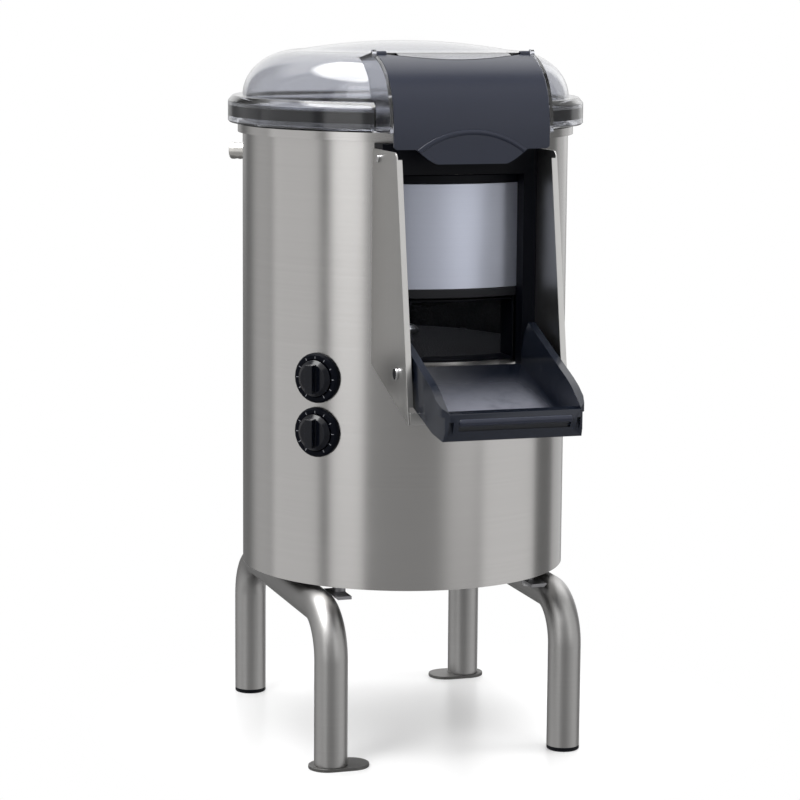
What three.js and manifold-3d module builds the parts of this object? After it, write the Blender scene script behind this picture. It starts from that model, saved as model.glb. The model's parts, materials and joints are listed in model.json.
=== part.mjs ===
// Floor-standing potato peeling machine, in millimetres, +Z up.
// A steel cylinder on two bent-tube leg frames holds a drum with a spinning abrasive disc. A domed
// clear lid with a feed flap closes it on top. The peeled load leaves through the front outlet,
// past a lifting door and over a hinged tray held between two steel cheeks.
// The front is -Y. The origin is on the floor, under the middle of the whole machine.

import * as THREE from 'three';
import { mergeVertices } from 'three/addons/utils/BufferGeometryUtils.js';
import Module from 'manifold-3d';

const wasm = await Module();
wasm.setup();

// Fits and facets
const seatGap = 0.3;          // between two pieces that rest on each other
const slideGap = 0.6;         // around a piece that slides or turns
const overrun = 5;            // how far a cutting shape runs past what it cuts
const bigSides = 48;
const midSides = 28;
const smallSides = 16;
const boltSides = 8;
const curveSteps = 6;
const hexSides = 6;
const weldShare = 0.001;      // of the seat gap: corners nearer than this are one corner

// Body
const bodyRadius = 200;
const bodySheet = 1.5;
const bodyBottomZ = 210;
const bodyHeight = 542;
const bodyFootLip = 14;       // width of the lip folded inwards at the bottom
const rimSheet = 2.7;
const rimBeadOut = 6;
const rimBeadDrop = 9;
const bodyTopZ = bodyBottomZ + bodyHeight;
const rimTopZ = bodyTopZ + seatGap + rimSheet;
const shellInside = bodyRadius - bodySheet;

// Drum
const drumGap = 32;           // from the body's outside to the drum's outside
const drumSheet = 3;
const drumFlange = 3;
const deckThick = 3.4;
const sillShare = 0.5055;     // outlet sill's place in the body's height
const deckDrop = 18;          // deck's upper face below the sill
const deckOverhang = 2;
const drumOutside = bodyRadius - drumGap;
const drumInside = drumOutside - drumSheet;
const sillZ = bodyBottomZ + sillShare * bodyHeight;
const deckTopZ = sillZ - deckDrop;
const deckBottomZ = deckTopZ - deckThick;

// Abrasive lining and disc
const liningThick = 2.5;
const liningTopDrop = 22;
const discGap = 3;            // disc's edge to the lining
const discEdge = 6;
const discLift = 9;           // disc's edge above the deck
const discCrown = 14;
const discSkin = 4;
const discHubRadius = 24;
const discCapRadius = 18;
const discCapHeight = 9;

// Outlet
const outletHalfWidth = 77;
const outletHeightShare = 0.1365;
const neckSheet = 2;
const doorSheet = 2;
const doorHeightShare = 0.227;
const doorOverlap = 4;        // how far each side of the door runs into its guide
const doorEdgeHeight = 10.7;
const doorEdgeOut = 1.5;
const doorGripHeight = 11;
const doorGripOut = 3;
const guideSideGap = 2;       // from the outlet's side to the guide
const guideReach = 8;         // guide's front ahead of the body
const guideFootDrop = 14;
const guideHeadHeight = 36;
const outletHeight = outletHeightShare * bodyHeight;
const doorHeight = doorHeightShare * bodyHeight;
const guideHalfWidth = outletHalfWidth + guideSideGap;
const doorInner = bodyRadius + seatGap;
const doorOuter = doorInner + doorSheet;
const doorBottomZ = sillZ + outletHeight + doorEdgeHeight + doorSheet;
const doorTopZ = doorBottomZ + doorHeight;
const guideHeadZ = doorTopZ + doorGripHeight + 2 * seatGap;
const guideTopZ = guideHeadZ + guideHeadHeight;

// Cheeks
const cheekSheet = 2;
const guideWidth = 16.2;      // from the guide's inner face to the cheek
const cheekTopOut = 68;
const cheekTipOut = 119;
const cheekTipDrop = 53;
const cheekFootDrop = 2.5;
const cheekHeadroom = 20;     // cheek's top below the rim
const cheekCorner = 8;
const cheekHemWidth = 5;      // cheek's front edge turned inwards
const cheekHemFootRise = 20;  // its lower end above the cheek's tip
const cheekInside = guideHalfWidth + guideWidth;
const cheekTopZ = rimTopZ - cheekHeadroom;
const cheekTipZ = sillZ - cheekTipDrop;
const cheekOutside = cheekInside + cheekSheet;
const restBarWidth = 10;
const restBarSheet = 2;

// Tray
const traySideGap = 8.2;      // from the tray's side to the cheek
const trayWall = 9;
const trayFloor = 4;
const pivotOut = 76;          // pivot ahead of the body
const pivotRise = 0;
const trayOut = 207;          // tray's foremost edge ahead of the body
const trayFootDrop = 60;      // tray's lowest corner below the sill
const trayFootBack = 12;      // that corner behind the foremost edge
const trayFloorSlopeShare = 0.277;
const trayRimSlopeShare = 0.363;
const trayRimRise = 30;       // rim above the pivot, at the pivot
const trayRimBendBack = 51;   // where the rim starts to dip, behind the foremost edge
const trayTailRadius = 66;    // round tail of the side walls, about the pivot
const trayFloorTail = 70;     // floor's rear edge behind the pivot
const trayLipTopDrop = 28;
const trayNoseDrop = 37;
const trayLipDepth = 24;
const trayPlanCorner = 20;
const trayLipKneeShare = 0.667; // of the way from the nose to the rim's bend
const lipGrooveHeight = 4;
const lipGrooveDepth = 2.5;
const lipGrooveEndGap = 21;   // from the end of a lip groove to the tray's side
const lipPocketWidth = 5;
const lipPocketHeight = 16;
const lipPocketDepth = 8;
const lipPocketWall = 1.5;    // from a pocket to the lip's end
const trayTaperIn = 8;        // each side of the lip is this much narrower at the nose
const trayTaperBack = 35;
const pivotBossRadius = 10;
const pivotBoltRadius = 4;
const pivotHeadRadius = 7;
const pivotHeadHeight = 3;
const screwRadius = 2.4;
const screwHeadRadius = 4.6;
const screwHeadHeight = 2.4;
const screwDepth = 9;
const screwBackOut = 2;       // cheek screw ahead of the body
const screwDrop = 10.5;       // cheek screw below the cheek's top
const trayHalfWidth = cheekInside - traySideGap;
const lipGrooveHalfLength = trayHalfWidth - lipGrooveEndGap;
const trayReach = bodyRadius + trayOut;
const pivotY = -(bodyRadius + pivotOut);
const pivotZ = sillZ + pivotRise;

// Lid
const lidWall = 4;
const lidFlangeOut = 18;
const lidFlangeHeight = 32.7;
const lidFlangeTop = 8;
const lidFlangeCorner = 4;
const lidShoulderWidth = 70;
const lidShoulderRise = 55.5;
const lidCrownRise = 11.5;
const gasketHeight = 16.5;
const gasketBackGap = 1.5;
const lidSeatZ = rimTopZ + seatGap;
const flangeRadius = bodyRadius + lidFlangeOut;
const flangeTopZ = lidSeatZ + lidFlangeHeight;
const lidShoulderZ = flangeTopZ + lidShoulderRise;

// Hood on the lid and its flap
const hoodSideOut = 1.8;      // hood's side outside the cheek
const hoodOut = 50;           // hood's front ahead of the body
const hoodDepth = 130;        // reach of the hood's curve behind its front
const hoodRise = 108;         // height of the hood's curve
const hoodTopUp = 4.5;        // hood's top above the lid's shoulder
const hoodCurveExponent = 2.8;
const hoodRootDepth = 30;
const flapWall = 3.5;
const flapRearGap = 1.5;
const flapNotchWidth = 26;
const flapSideDrop = 3;       // flap's side corners below the hood's curve
const flapTongueDrop = 17;
const flapTongueShare = 0.424; // of the hood's half-width
const flapTongueSlopeShare = 0.263;
const flapTongueKneeShare = 0.4;
const flapRidgeRise = 25;
const flapRidgeShare = 0.667;
const flapRidgeWidth = 6;
const flapRidgeOut = 1.6;
const flapHingeBack = 71.5;   // hinge axis behind the hood's front
const flapHingeDrop = 5;      // hinge axis below the hood's top
const knuckleRadius = 4;
const knuckleLength = 12;
const hingeEarRadius = 5.6;
const hingePinRadius = 2;
const hoodHalfWidth = cheekOutside + hoodSideOut;
const hoodFrontY = -(bodyRadius + hoodOut);
const hoodTopZ = lidShoulderZ + hoodTopUp;
const hoodBaseZ = hoodTopZ - hoodRise;
const hoodInside = hoodHalfWidth - lidWall;
const flapTongueHalfWidth = flapTongueShare * hoodHalfWidth;
const flapTongueSlope = flapTongueSlopeShare * hoodHalfWidth;
const flapRidgeHalfWidth = flapRidgeShare * hoodHalfWidth;
const flapHingeY = hoodFrontY + flapHingeBack;
const flapHingeZ = hoodTopZ - flapHingeDrop;

// Legs
const tubeRadius = 20;
const tubeWall = 2;
const legXShare = 0.74;       // of the body's radius
const legYShare = 0.935;
const legBendRadius = 55;
const legTopGap = 5;          // tube's top below the body
const footPlateThick = 4;
const footPlateWidth = 46;
const footPlateBack = 27;
const footPlateFront = 47;
const footHoleRadius = 5;
const footHoleInset = 13;
const footCapThick = 5;
const footPlugLength = 18;
const legX = legXShare * bodyRadius;
const legY = legYShare * bodyRadius;
const runZ = bodyBottomZ - legTopGap - tubeRadius;
const legBendSteps = 6;

// Brackets between the leg frames and the body
const bracketPlateDrop = 9.4;
const bracketPlateThick = 4;
const bracketWidth = 33.5;    // from the leg frame's middle to the bracket's inner edge
const bracketNearBack = 77;   // from the leg back to the bracket's near and far ends
const bracketFarBack = 27;
const bracketBossRadius = 8;
const bracketBoltRadius = 3;
const bracketBoltHeadRadius = 6.5;
const bracketBoltHeadHeight = 4;
const bracketBoltLength = 18;
const bracketBossIn = 27;     // from the leg to the bracket's boss
const bracketBossBack = 59;
const bracketInnerX = legX - bracketWidth;
const bracketNearY = legY - bracketNearBack;
const bracketFarY = legY - bracketFarBack;
const bracketBossX = legX - bracketBossIn;
const bracketBossY = legY - bracketBossBack;
const baseSheet = 2;
const ventRadius = 9;
const ventRingShare = 0.35;
const ventCount = 6;

// Drive
const shaftRadius = 10;
const shaftHeadHeight = 10;
const shaftTailDrop = 104;    // shaft's lower end below the deck
const bearingOutside = 21;
const bearingWidth = 12;
const bearingInset = 6;
const housingOutside = 32;
const housingHeight = 60;
const housingFlangeRadius = 52;
const housingFlangeThick = 7;
const sealOutside = 18;
const sealHeight = 6;
const motorOffsetShare = 0.54; // motor's axis behind the drive shaft, of the body's radius
const bigPulleyShare = 0.33;
const smallPulleyShare = 0.11;
const pulleyLip = 5;
const pulleyWidth = 18;
const beltThick = 7;
const beltWidth = 11;
const motorRadiusShare = 0.275;
const motorFloorGap = 17.5;   // motor's lower end above the base plate
const motorFinDepth = 3;
const motorFinCount = 3;
const motorShaftRadius = 7;
const motorBracketSheet = 3;
const motorBracketHalfWidthShare = 0.42;
const motorBracketFrontShare = 0.22;
const motorBracketBackShare = 0.82;
const bracketPlateGap = 6;    // motor plate below the pulleys
const motorOffset = motorOffsetShare * bodyRadius;
const motorRadius = motorRadiusShare * bodyRadius;
const bigPulleyRadius = bigPulleyShare * bodyRadius;
const smallPulleyRadius = smallPulleyShare * bodyRadius;
const motorBracketHalfWidth = motorBracketHalfWidthShare * bodyRadius;
const motorBracketFront = motorBracketFrontShare * bodyRadius;
const motorBracketBack = motorBracketBackShare * bodyRadius;
const pulleyTopZ = deckBottomZ - shaftTailDrop + pulleyWidth;
const pulleyBottomZ = deckBottomZ - shaftTailDrop;
const motorPlateTopZ = pulleyBottomZ - bracketPlateGap;
const motorTopZ = motorPlateTopZ - motorBracketSheet - seatGap;
const baseTopZ = bodyBottomZ + bodySheet + seatGap + baseSheet;
const motorHeight = motorTopZ - baseTopZ - motorFloorGap;

// Controls, water and waste
const knobAngle = -48.5;      // degrees from the front, seen from above, towards the left side
const knobUpperDrop = 22.5;   // timer's axis below the sill
const knobSpacing = 65;
const bezelRadius = 30;
const bezelThick = 6;
const bezelStep = 5;
const knobRadius = 17;
const knobSkirtRadius = 22;
const knobSkirtThick = 4;
const knobHeight = 17;
const knobGripWidth = 10;
const spindleRadius = 3;
const controlCaseSize = 42;
const controlCaseDepth = 22;
const controlNeckRadius = 6;
const inletAngle = -130;
const inletDrop = 39;         // water inlet's axis below the body's top
const inletRadius = 10.5;
const inletOut = 36;
const inletFlangeRadius = 14;
const inletFlangeThick = 4;
const inletBore = 4;
const inletPipeRadius = 6;
const threadCount = 4;
const inletInside = 10;       // nozzle's reach into the drum
const glandAngle = 180;
const glandZ = 262;
const glandRadius = 9;
const glandOut = 16;
const glandBore = 4.5;
const glandNutRadius = 12;
const drainXShare = 0.59;     // of the body's radius
const drainYShare = 0.3;
const drainRadius = 21;
const drainWall = 2;
const drainBend = 40;
const drainOut = 15;          // waste pipe's end behind the body
const drainBendSteps = 4;
const drainX = drainXShare * bodyRadius;
const drainY = drainYShare * bodyRadius;
const drainLength = bodyRadius + drainOut;

// The machine's axis lies behind the middle of the whole, because the tray reaches forwards.
const axisShift = (trayReach - flangeRadius) / 2;

// Finishes
const finish = (color, roughness, metalness) =>
  new THREE.MeshStandardMaterial({ color, roughness, metalness });
const clearPlastic = () => {
  const material = finish(0xd4d7da, 0.12, 0.0);
  material.transparent = true;
  material.opacity = 0.55;
  return material;
};
const finishes = {
  brushedSteel: () => finish(0xb2aea7, 0.32, 1.0),
  polishedSteel: () => finish(0xc7cad4, 0.22, 1.0),
  plainSteel: () => finish(0x8f9092, 0.4, 1.0),
  darkPlastic: () => finish(0x2c303e, 0.45, 0.0),
  blackPlastic: () => finish(0x0e0f12, 0.35, 0.0),
  clear: clearPlastic,
  rubber: () => finish(0x17181a, 0.8, 0.0),
  grit: () => finish(0x2a2926, 0.95, 0.0),
  castAluminium: () => finish(0x9a9c9d, 0.55, 0.9),
  motorPaint: () => finish(0x3b4046, 0.6, 0.2),
  brass: () => finish(0xb49a5a, 0.35, 1.0),
};

// Solids. Every piece passes through here, so each is one closed body with outward faces.
function solid(geometry) {
  const bare = geometry.clone();
  bare.deleteAttribute('normal');
  bare.deleteAttribute('uv');
  const merged = mergeVertices(bare, weldShare * seatGap);
  const index = Array.from(merged.index.array);
  const position = merged.attributes.position;
  const corner = [new THREE.Vector3(), new THREE.Vector3(), new THREE.Vector3()];
  const kept = [];
  let volume = 0;
  for (let i = 0; i < index.length; i += 3) {
    const [a, b, c] = index.slice(i, i + 3);
    if (a === b || b === c || c === a) {
      continue;
    }
    corner[0].fromBufferAttribute(position, a);
    corner[1].fromBufferAttribute(position, b);
    corner[2].fromBufferAttribute(position, c);
    volume += corner[0].dot(corner[1].cross(corner[2]));
    kept.push(a, b, c);
  }
  if (volume < 0) {
    kept.reverse();
  }
  const mesh = new wasm.Mesh({
    numProp: 3,
    vertProperties: new Float32Array(position.array),
    triVerts: new Uint32Array(kept),
  });
  return new wasm.Manifold(mesh);
}

function geometryOf(manifold) {
  const mesh = manifold.getMesh();
  const geometry = new THREE.BufferGeometry();
  geometry.setAttribute('position', new THREE.BufferAttribute(new Float32Array(mesh.vertProperties), 3));
  geometry.setIndex(new THREE.BufferAttribute(new Uint32Array(mesh.triVerts), 1));
  geometry.computeVertexNormals();
  return geometry;
}

function joined(first, ...others) {
  return others.reduce((whole, next) => whole.add(next), first);
}

function without(first, ...others) {
  return others.reduce((whole, next) => whole.subtract(next), first);
}

// Basic shapes
function outline(points) {
  return new THREE.Shape(points.map(([x, y]) => new THREE.Vector2(x, y)));
}

function extruded(points, depth) {
  return new THREE.ExtrudeGeometry(outline(points), { depth, bevelEnabled: false, steps: 1 });
}

// A (Y, Z) outline that runs along X
function alongX(points, fromX, toX) {
  const geometry = extruded(points, toX - fromX);
  const turn = new THREE.Matrix4().makeBasis(
    new THREE.Vector3(0, 1, 0), new THREE.Vector3(0, 0, 1), new THREE.Vector3(1, 0, 0));
  return solid(geometry.applyMatrix4(turn).translate(fromX, 0, 0));
}

// An (X, Z) outline that runs along Y
function alongY(points, fromY, toY) {
  return solid(extruded(points, toY - fromY).rotateX(Math.PI / 2).translate(0, toY, 0));
}

// An (X, Y) outline that runs along Z
function alongZ(points, fromZ, toZ) {
  return solid(extruded(points, toZ - fromZ).translate(0, 0, fromZ));
}

function block(fromX, toX, fromY, toY, fromZ, toZ) {
  const geometry = new THREE.BoxGeometry(toX - fromX, toY - fromY, toZ - fromZ);
  return solid(geometry.translate((fromX + toX) / 2, (fromY + toY) / 2, (fromZ + toZ) / 2));
}

function rodX(radius, fromX, toX, y, z, sides = smallSides) {
  const geometry = new THREE.CylinderGeometry(radius, radius, toX - fromX, sides);
  return solid(geometry.rotateZ(Math.PI / 2).translate((fromX + toX) / 2, y, z));
}

function rodY(radius, fromY, toY, x, z, sides = smallSides) {
  const geometry = new THREE.CylinderGeometry(radius, radius, toY - fromY, sides);
  return solid(geometry.translate(x, (fromY + toY) / 2, z));
}

function rodZ(radius, fromZ, toZ, x, y, sides = smallSides) {
  const geometry = new THREE.CylinderGeometry(radius, radius, toZ - fromZ, sides);
  return solid(geometry.rotateX(Math.PI / 2).translate(x, y, (fromZ + toZ) / 2));
}

// A closed (radius, height) profile turned about the machine's axis
function turned(points, sides = bigSides) {
  const closed = [...points, points[0]].map(([r, z]) => new THREE.Vector2(r, z));
  return solid(new THREE.LatheGeometry(closed, sides).rotateX(Math.PI / 2));
}

function ring(inner, outer, fromZ, toZ, sides = bigSides) {
  return turned([[inner, fromZ], [outer, fromZ], [outer, toZ], [inner, toZ]], sides);
}

// Points of an arc, ends included
function arc(centreX, centreY, radius, fromAngle, toAngle, steps = curveSteps) {
  const points = [];
  for (let i = 0; i <= steps; i += 1) {
    const angle = fromAngle + (toAngle - fromAngle) * i / steps;
    points.push([centreX + radius * Math.cos(angle), centreY + radius * Math.sin(angle)]);
  }
  return points;
}

// A curved band that follows the body's front, halfWidth to either side of the middle plane
function frontBand(inner, outer, halfWidth, fromZ, toZ, steps = 2 * curveSteps) {
  const innerHalf = Math.asin(halfWidth / inner);
  const outerHalf = Math.asin(halfWidth / outer);
  const front = -Math.PI / 2;
  return alongZ([
    ...arc(0, 0, outer, front - outerHalf, front + outerHalf, steps),
    ...arc(0, 0, inner, front + innerHalf, front - innerHalf, steps),
  ], fromZ, toZ);
}

// Depth of a circle's front at a given distance from the middle plane
function frontY(radius, x) {
  return -Math.sqrt(radius * radius - x * x);
}

// A path that is drawn through its own stations, so that straight runs need only two of them
class StationPath extends THREE.Curve {
  constructor(stations) {
    super();
    this.stations = stations;
  }

  getSpacedPoints() {
    return this.stations.map((station) => station.point.clone());
  }

  getTangentAt(share) {
    return this.stations[Math.round(share * (this.stations.length - 1))].tangent.clone();
  }
}

// Stations of a flat route in a plane of constant X: straight runs joined by round bends
function station(x, y, z, angle) {
  return {
    point: new THREE.Vector3(x, y, z),
    tangent: new THREE.Vector3(0, Math.cos(angle), Math.sin(angle)),
  };
}

function tube(stations, radius, wall, sides) {
  const section = new THREE.Shape(arc(0, 0, radius, 0, 2 * Math.PI * (1 - 1 / sides), sides - 1)
    .map(([x, y]) => new THREE.Vector2(x, y)));
  section.holes.push(new THREE.Path(arc(0, 0, radius - wall, 0, 2 * Math.PI * (1 - 1 / sides), sides - 1)
    .map(([x, y]) => new THREE.Vector2(x, y))));
  return solid(new THREE.ExtrudeGeometry(section, {
    steps: stations.length - 1,
    bevelEnabled: false,
    extrudePath: new StationPath(stations),
  }));
}

// The assembly
const machine = new THREE.Group();
machine.name = 'potato_peeler';
machine.position.set(0, axisShift, 0);

function place(name, manifold, finishName, parent = machine) {
  const mesh = new THREE.Mesh(geometryOf(manifold), finishes[finishName]());
  mesh.name = name;
  parent.add(mesh);
  return mesh;
}

// A group whose +X points outwards from the axis, at an angle from the front, seen from above.
// A positive angle turns towards the machine's right-hand side, which is +X.
function radialGroup(degrees, z) {
  const group = new THREE.Group();
  group.position.set(0, 0, z);
  group.rotation.z = -Math.PI / 2 + degrees * Math.PI / 180;
  machine.add(group);
  return group;
}

// The same turn for a cutter that is made in a radial group's frame
function aimed(manifold, degrees, z) {
  const turn = new THREE.Matrix4().makeRotationZ(-Math.PI / 2 + degrees * Math.PI / 180);
  return solid(geometryOf(manifold).applyMatrix4(turn).translate(0, 0, z));
}

// A profile of (radius, distance) turned about a radial group's +X
function turnedOut(points, sides = midSides) {
  const closed = [...points, points[0]].map(([r, x]) => new THREE.Vector2(r, x));
  return solid(new THREE.LatheGeometry(closed, sides).rotateZ(-Math.PI / 2));
}

const knobZs = [sillZ - knobUpperDrop, sillZ - knobUpperDrop - knobSpacing];
const inletZ = bodyTopZ - inletDrop;
const drainZ = deckBottomZ - seatGap - drainRadius - drainBend;

function bodyShell() {
  const bottom = bodyBottomZ + bodySheet;
  const wall = turned([
    [shellInside - bodyFootLip, bodyBottomZ], [bodyRadius, bodyBottomZ], [bodyRadius, bodyTopZ],
    [shellInside, bodyTopZ], [shellInside, bottom], [shellInside - bodyFootLip, bottom],
  ]);
  const outlet = block(-outletHalfWidth, outletHalfWidth, -bodyRadius - overrun, 0,
    sillZ, sillZ + outletHeight);
  const through = (radius) => rodX(radius, drumOutside, bodyRadius + overrun, 0, 0);
  const knobHoles = knobZs.map((z) => aimed(through(controlNeckRadius + slideGap), knobAngle, z));
  const inletHole = aimed(through(inletPipeRadius + seatGap), inletAngle, inletZ);
  const glandHole = aimed(through(glandRadius + seatGap), glandAngle, glandZ);
  const drainHole = rodY(drainRadius + slideGap, drainY, bodyRadius, -drainX, drainZ, midSides);
  return without(wall, outlet, ...knobHoles, inletHole, glandHole, drainHole);
}

function topRim() {
  const outer = bodyRadius + rimBeadOut;
  const underside = bodyTopZ + seatGap;
  const beadInside = bodyRadius + slideGap;
  return turned([
    [drumInside, underside], [beadInside, underside], [beadInside, underside - rimBeadDrop],
    [outer, underside - rimBeadDrop], [outer, rimTopZ], [drumInside, rimTopZ],
  ]);
}

function drum() {
  const flangeUnder = bodyTopZ - drumFlange;
  const wall = turned([
    [drumInside, deckTopZ], [drumOutside, deckTopZ], [drumOutside, flangeUnder],
    [shellInside - seatGap, flangeUnder], [shellInside - seatGap, bodyTopZ], [drumInside, bodyTopZ],
  ]);
  const outlet = block(-outletHalfWidth, outletHalfWidth, -bodyRadius, 0, sillZ, sillZ + outletHeight);
  const inletHole = aimed(rodX(inletPipeRadius + seatGap, drumInside - overrun, drumOutside + overrun, 0, 0),
    inletAngle, inletZ);
  return without(wall, outlet, inletHole);
}

function deck() {
  const plate = turned([
    [housingOutside - bearingInset, deckBottomZ], [drumOutside + deckOverhang, deckBottomZ],
    [drumOutside + deckOverhang, deckTopZ - seatGap], [housingOutside - bearingInset, deckTopZ - seatGap],
  ]);
  const drainHole = rodZ(drainRadius - drainWall, deckBottomZ - overrun, deckTopZ + overrun, -drainX, drainY);
  return without(plate, drainHole);
}

function lining() {
  const outer = drumInside - seatGap;
  const sleeve = ring(outer - liningThick, outer, deckTopZ + seatGap, bodyTopZ - liningTopDrop);
  const outlet = block(-outletHalfWidth, outletHalfWidth, -bodyRadius, 0, sillZ, sillZ + outletHeight);
  const inletHole = aimed(rodX(inletPipeRadius + seatGap, drumInside - drumGap, drumOutside, 0, 0),
    inletAngle, inletZ);
  return without(sleeve, outlet, inletHole);
}

function outletNeck() {
  const halfWidth = outletHalfWidth - seatGap;
  const top = sillZ + outletHeight - seatGap;
  const bottom = sillZ + seatGap;
  const sleeve = without(
    block(-halfWidth, halfWidth, -bodyRadius, 0, bottom, top),
    block(-halfWidth + neckSheet, halfWidth - neckSheet, -bodyRadius, 0,
      bottom + neckSheet, top - neckSheet));
  const bed = ring(drumInside + seatGap, bodyRadius - seatGap, bottom - overrun, top + overrun);
  return sleeve.intersect(bed).intersect(block(-bodyRadius, bodyRadius, -bodyRadius, -guideHalfWidth,
    bottom, top));
}

// Guides and header that hold the outlet door against the body
function outletFrame() {
  const outer = cheekInside - seatGap;
  const front = -(bodyRadius + guideReach);
  const foot = sillZ - guideFootDrop;
  const posts = without(
    block(-outer, outer, front, frontY(bodyRadius, outer), foot, guideTopZ),
    block(-guideHalfWidth, guideHalfWidth, front - overrun, 0, foot - overrun, guideHeadZ));
  const bodyBed = rodZ(bodyRadius + seatGap, foot - overrun, guideTopZ + overrun, 0, 0, 2 * bigSides);
  const groove = frontBand(bodyRadius - overrun, doorOuter + slideGap,
    guideHalfWidth + doorOverlap, foot - overrun, guideHeadZ);
  const screwY = -(bodyRadius + screwBackOut);
  const screwZ = cheekTopZ - screwDrop;
  const bores = [-1, 1].map((side) => rodX(screwRadius + seatGap,
    side > 0 ? outer - screwDepth - seatGap : -outer - overrun,
    side > 0 ? outer + overrun : -outer + screwDepth + seatGap, screwY, screwZ, boltSides));
  return without(posts, bodyBed, groove, ...bores);
}

function doorPlate() {
  return frontBand(doorInner + seatGap, doorOuter + seatGap, guideHalfWidth + doorOverlap - slideGap,
    doorBottomZ, doorTopZ);
}

function doorEdge() {
  return frontBand(doorInner + seatGap, doorOuter + doorEdgeOut, guideHalfWidth - slideGap,
    doorBottomZ - doorEdgeHeight, doorBottomZ - seatGap);
}

function doorGrip() {
  return frontBand(doorInner + seatGap, doorOuter + doorGripOut, guideHalfWidth - slideGap,
    doorTopZ + seatGap, doorTopZ + doorGripHeight);
}

function cheek(side) {
  const backY = frontY(bodyRadius, cheekInside) - seatGap;
  const topY = -(bodyRadius + cheekTopOut);
  const tipY = -(bodyRadius + cheekTipOut);
  const plate = alongX([
    [backY, sillZ - cheekFootDrop], [backY, cheekTopZ],
    ...arc(topY + cheekCorner, cheekTopZ - cheekCorner, cheekCorner, Math.PI / 2, Math.PI, curveSteps / 2),
    [tipY, cheekTipZ],
  ], side * cheekInside, side * cheekOutside);
  // The front edge is turned inwards from above the rest bar up to the rounded corner.
  const headZ = cheekTopZ - cheekCorner;
  const footZ = cheekTipZ + cheekHemFootRise;
  const footY = tipY + (topY - tipY) * (footZ - cheekTipZ) / (headZ - cheekTipZ);
  const hem = alongX([
    [footY + cheekSheet, footZ], [topY + cheekSheet, headZ], [topY, headZ], [footY, footZ],
  ], side * (cheekInside - cheekHemWidth), side * (cheekInside + cheekSheet / 2));
  const reach = cheekOutside + overrun;
  return without(joined(plate, hem),
    rodX(pivotBoltRadius + seatGap, -reach, reach, pivotY, pivotZ),
    rodX(screwRadius + seatGap, -reach, reach, -(bodyRadius + screwBackOut), cheekTopZ - screwDrop,
      boltSides));
}

// Angle bar between the cheeks' tips, where the open tray comes to rest
function trayFloorZ(y) {
  return sillZ - trayFootDrop + trayFloorSlopeShare * (y + trayReach - trayFootBack);
}

function restBar() {
  const front = -(bodyRadius + cheekTipOut);
  const halfWidth = cheekInside - seatGap;
  return alongX([
    [front, cheekTipZ], [front + restBarWidth, cheekTipZ], [front + restBarWidth, cheekTipZ + restBarSheet],
    [front + restBarSheet, cheekTipZ + restBarSheet],
    [front + restBarSheet, trayFloorZ(front) - seatGap], [front, trayFloorZ(front) - seatGap],
  ], -halfWidth, halfWidth);
}

function pivotBolt(side) {
  const head = rodX(pivotHeadRadius, cheekOutside + seatGap, cheekOutside + seatGap + pivotHeadHeight,
    side * pivotY, pivotZ);
  const shank = rodX(pivotBoltRadius, trayHalfWidth - trayWall + seatGap, cheekOutside + pivotHeadHeight,
    side * pivotY, pivotZ);
  const bolt = geometryOf(joined(head, shank));
  return solid(side > 0 ? bolt : bolt.rotateZ(Math.PI));
}

function cheekScrew(side) {
  const y = side * -(bodyRadius + screwBackOut);
  const z = cheekTopZ - screwDrop;
  const head = rodX(screwHeadRadius, cheekOutside + seatGap, cheekOutside + seatGap + screwHeadHeight, y, z);
  const shank = rodX(screwRadius, cheekInside - screwDepth, cheekOutside + screwHeadHeight, y, z, boltSides);
  const screw = geometryOf(joined(head, shank));
  return solid(side > 0 ? screw : screw.rotateZ(Math.PI));
}

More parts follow.
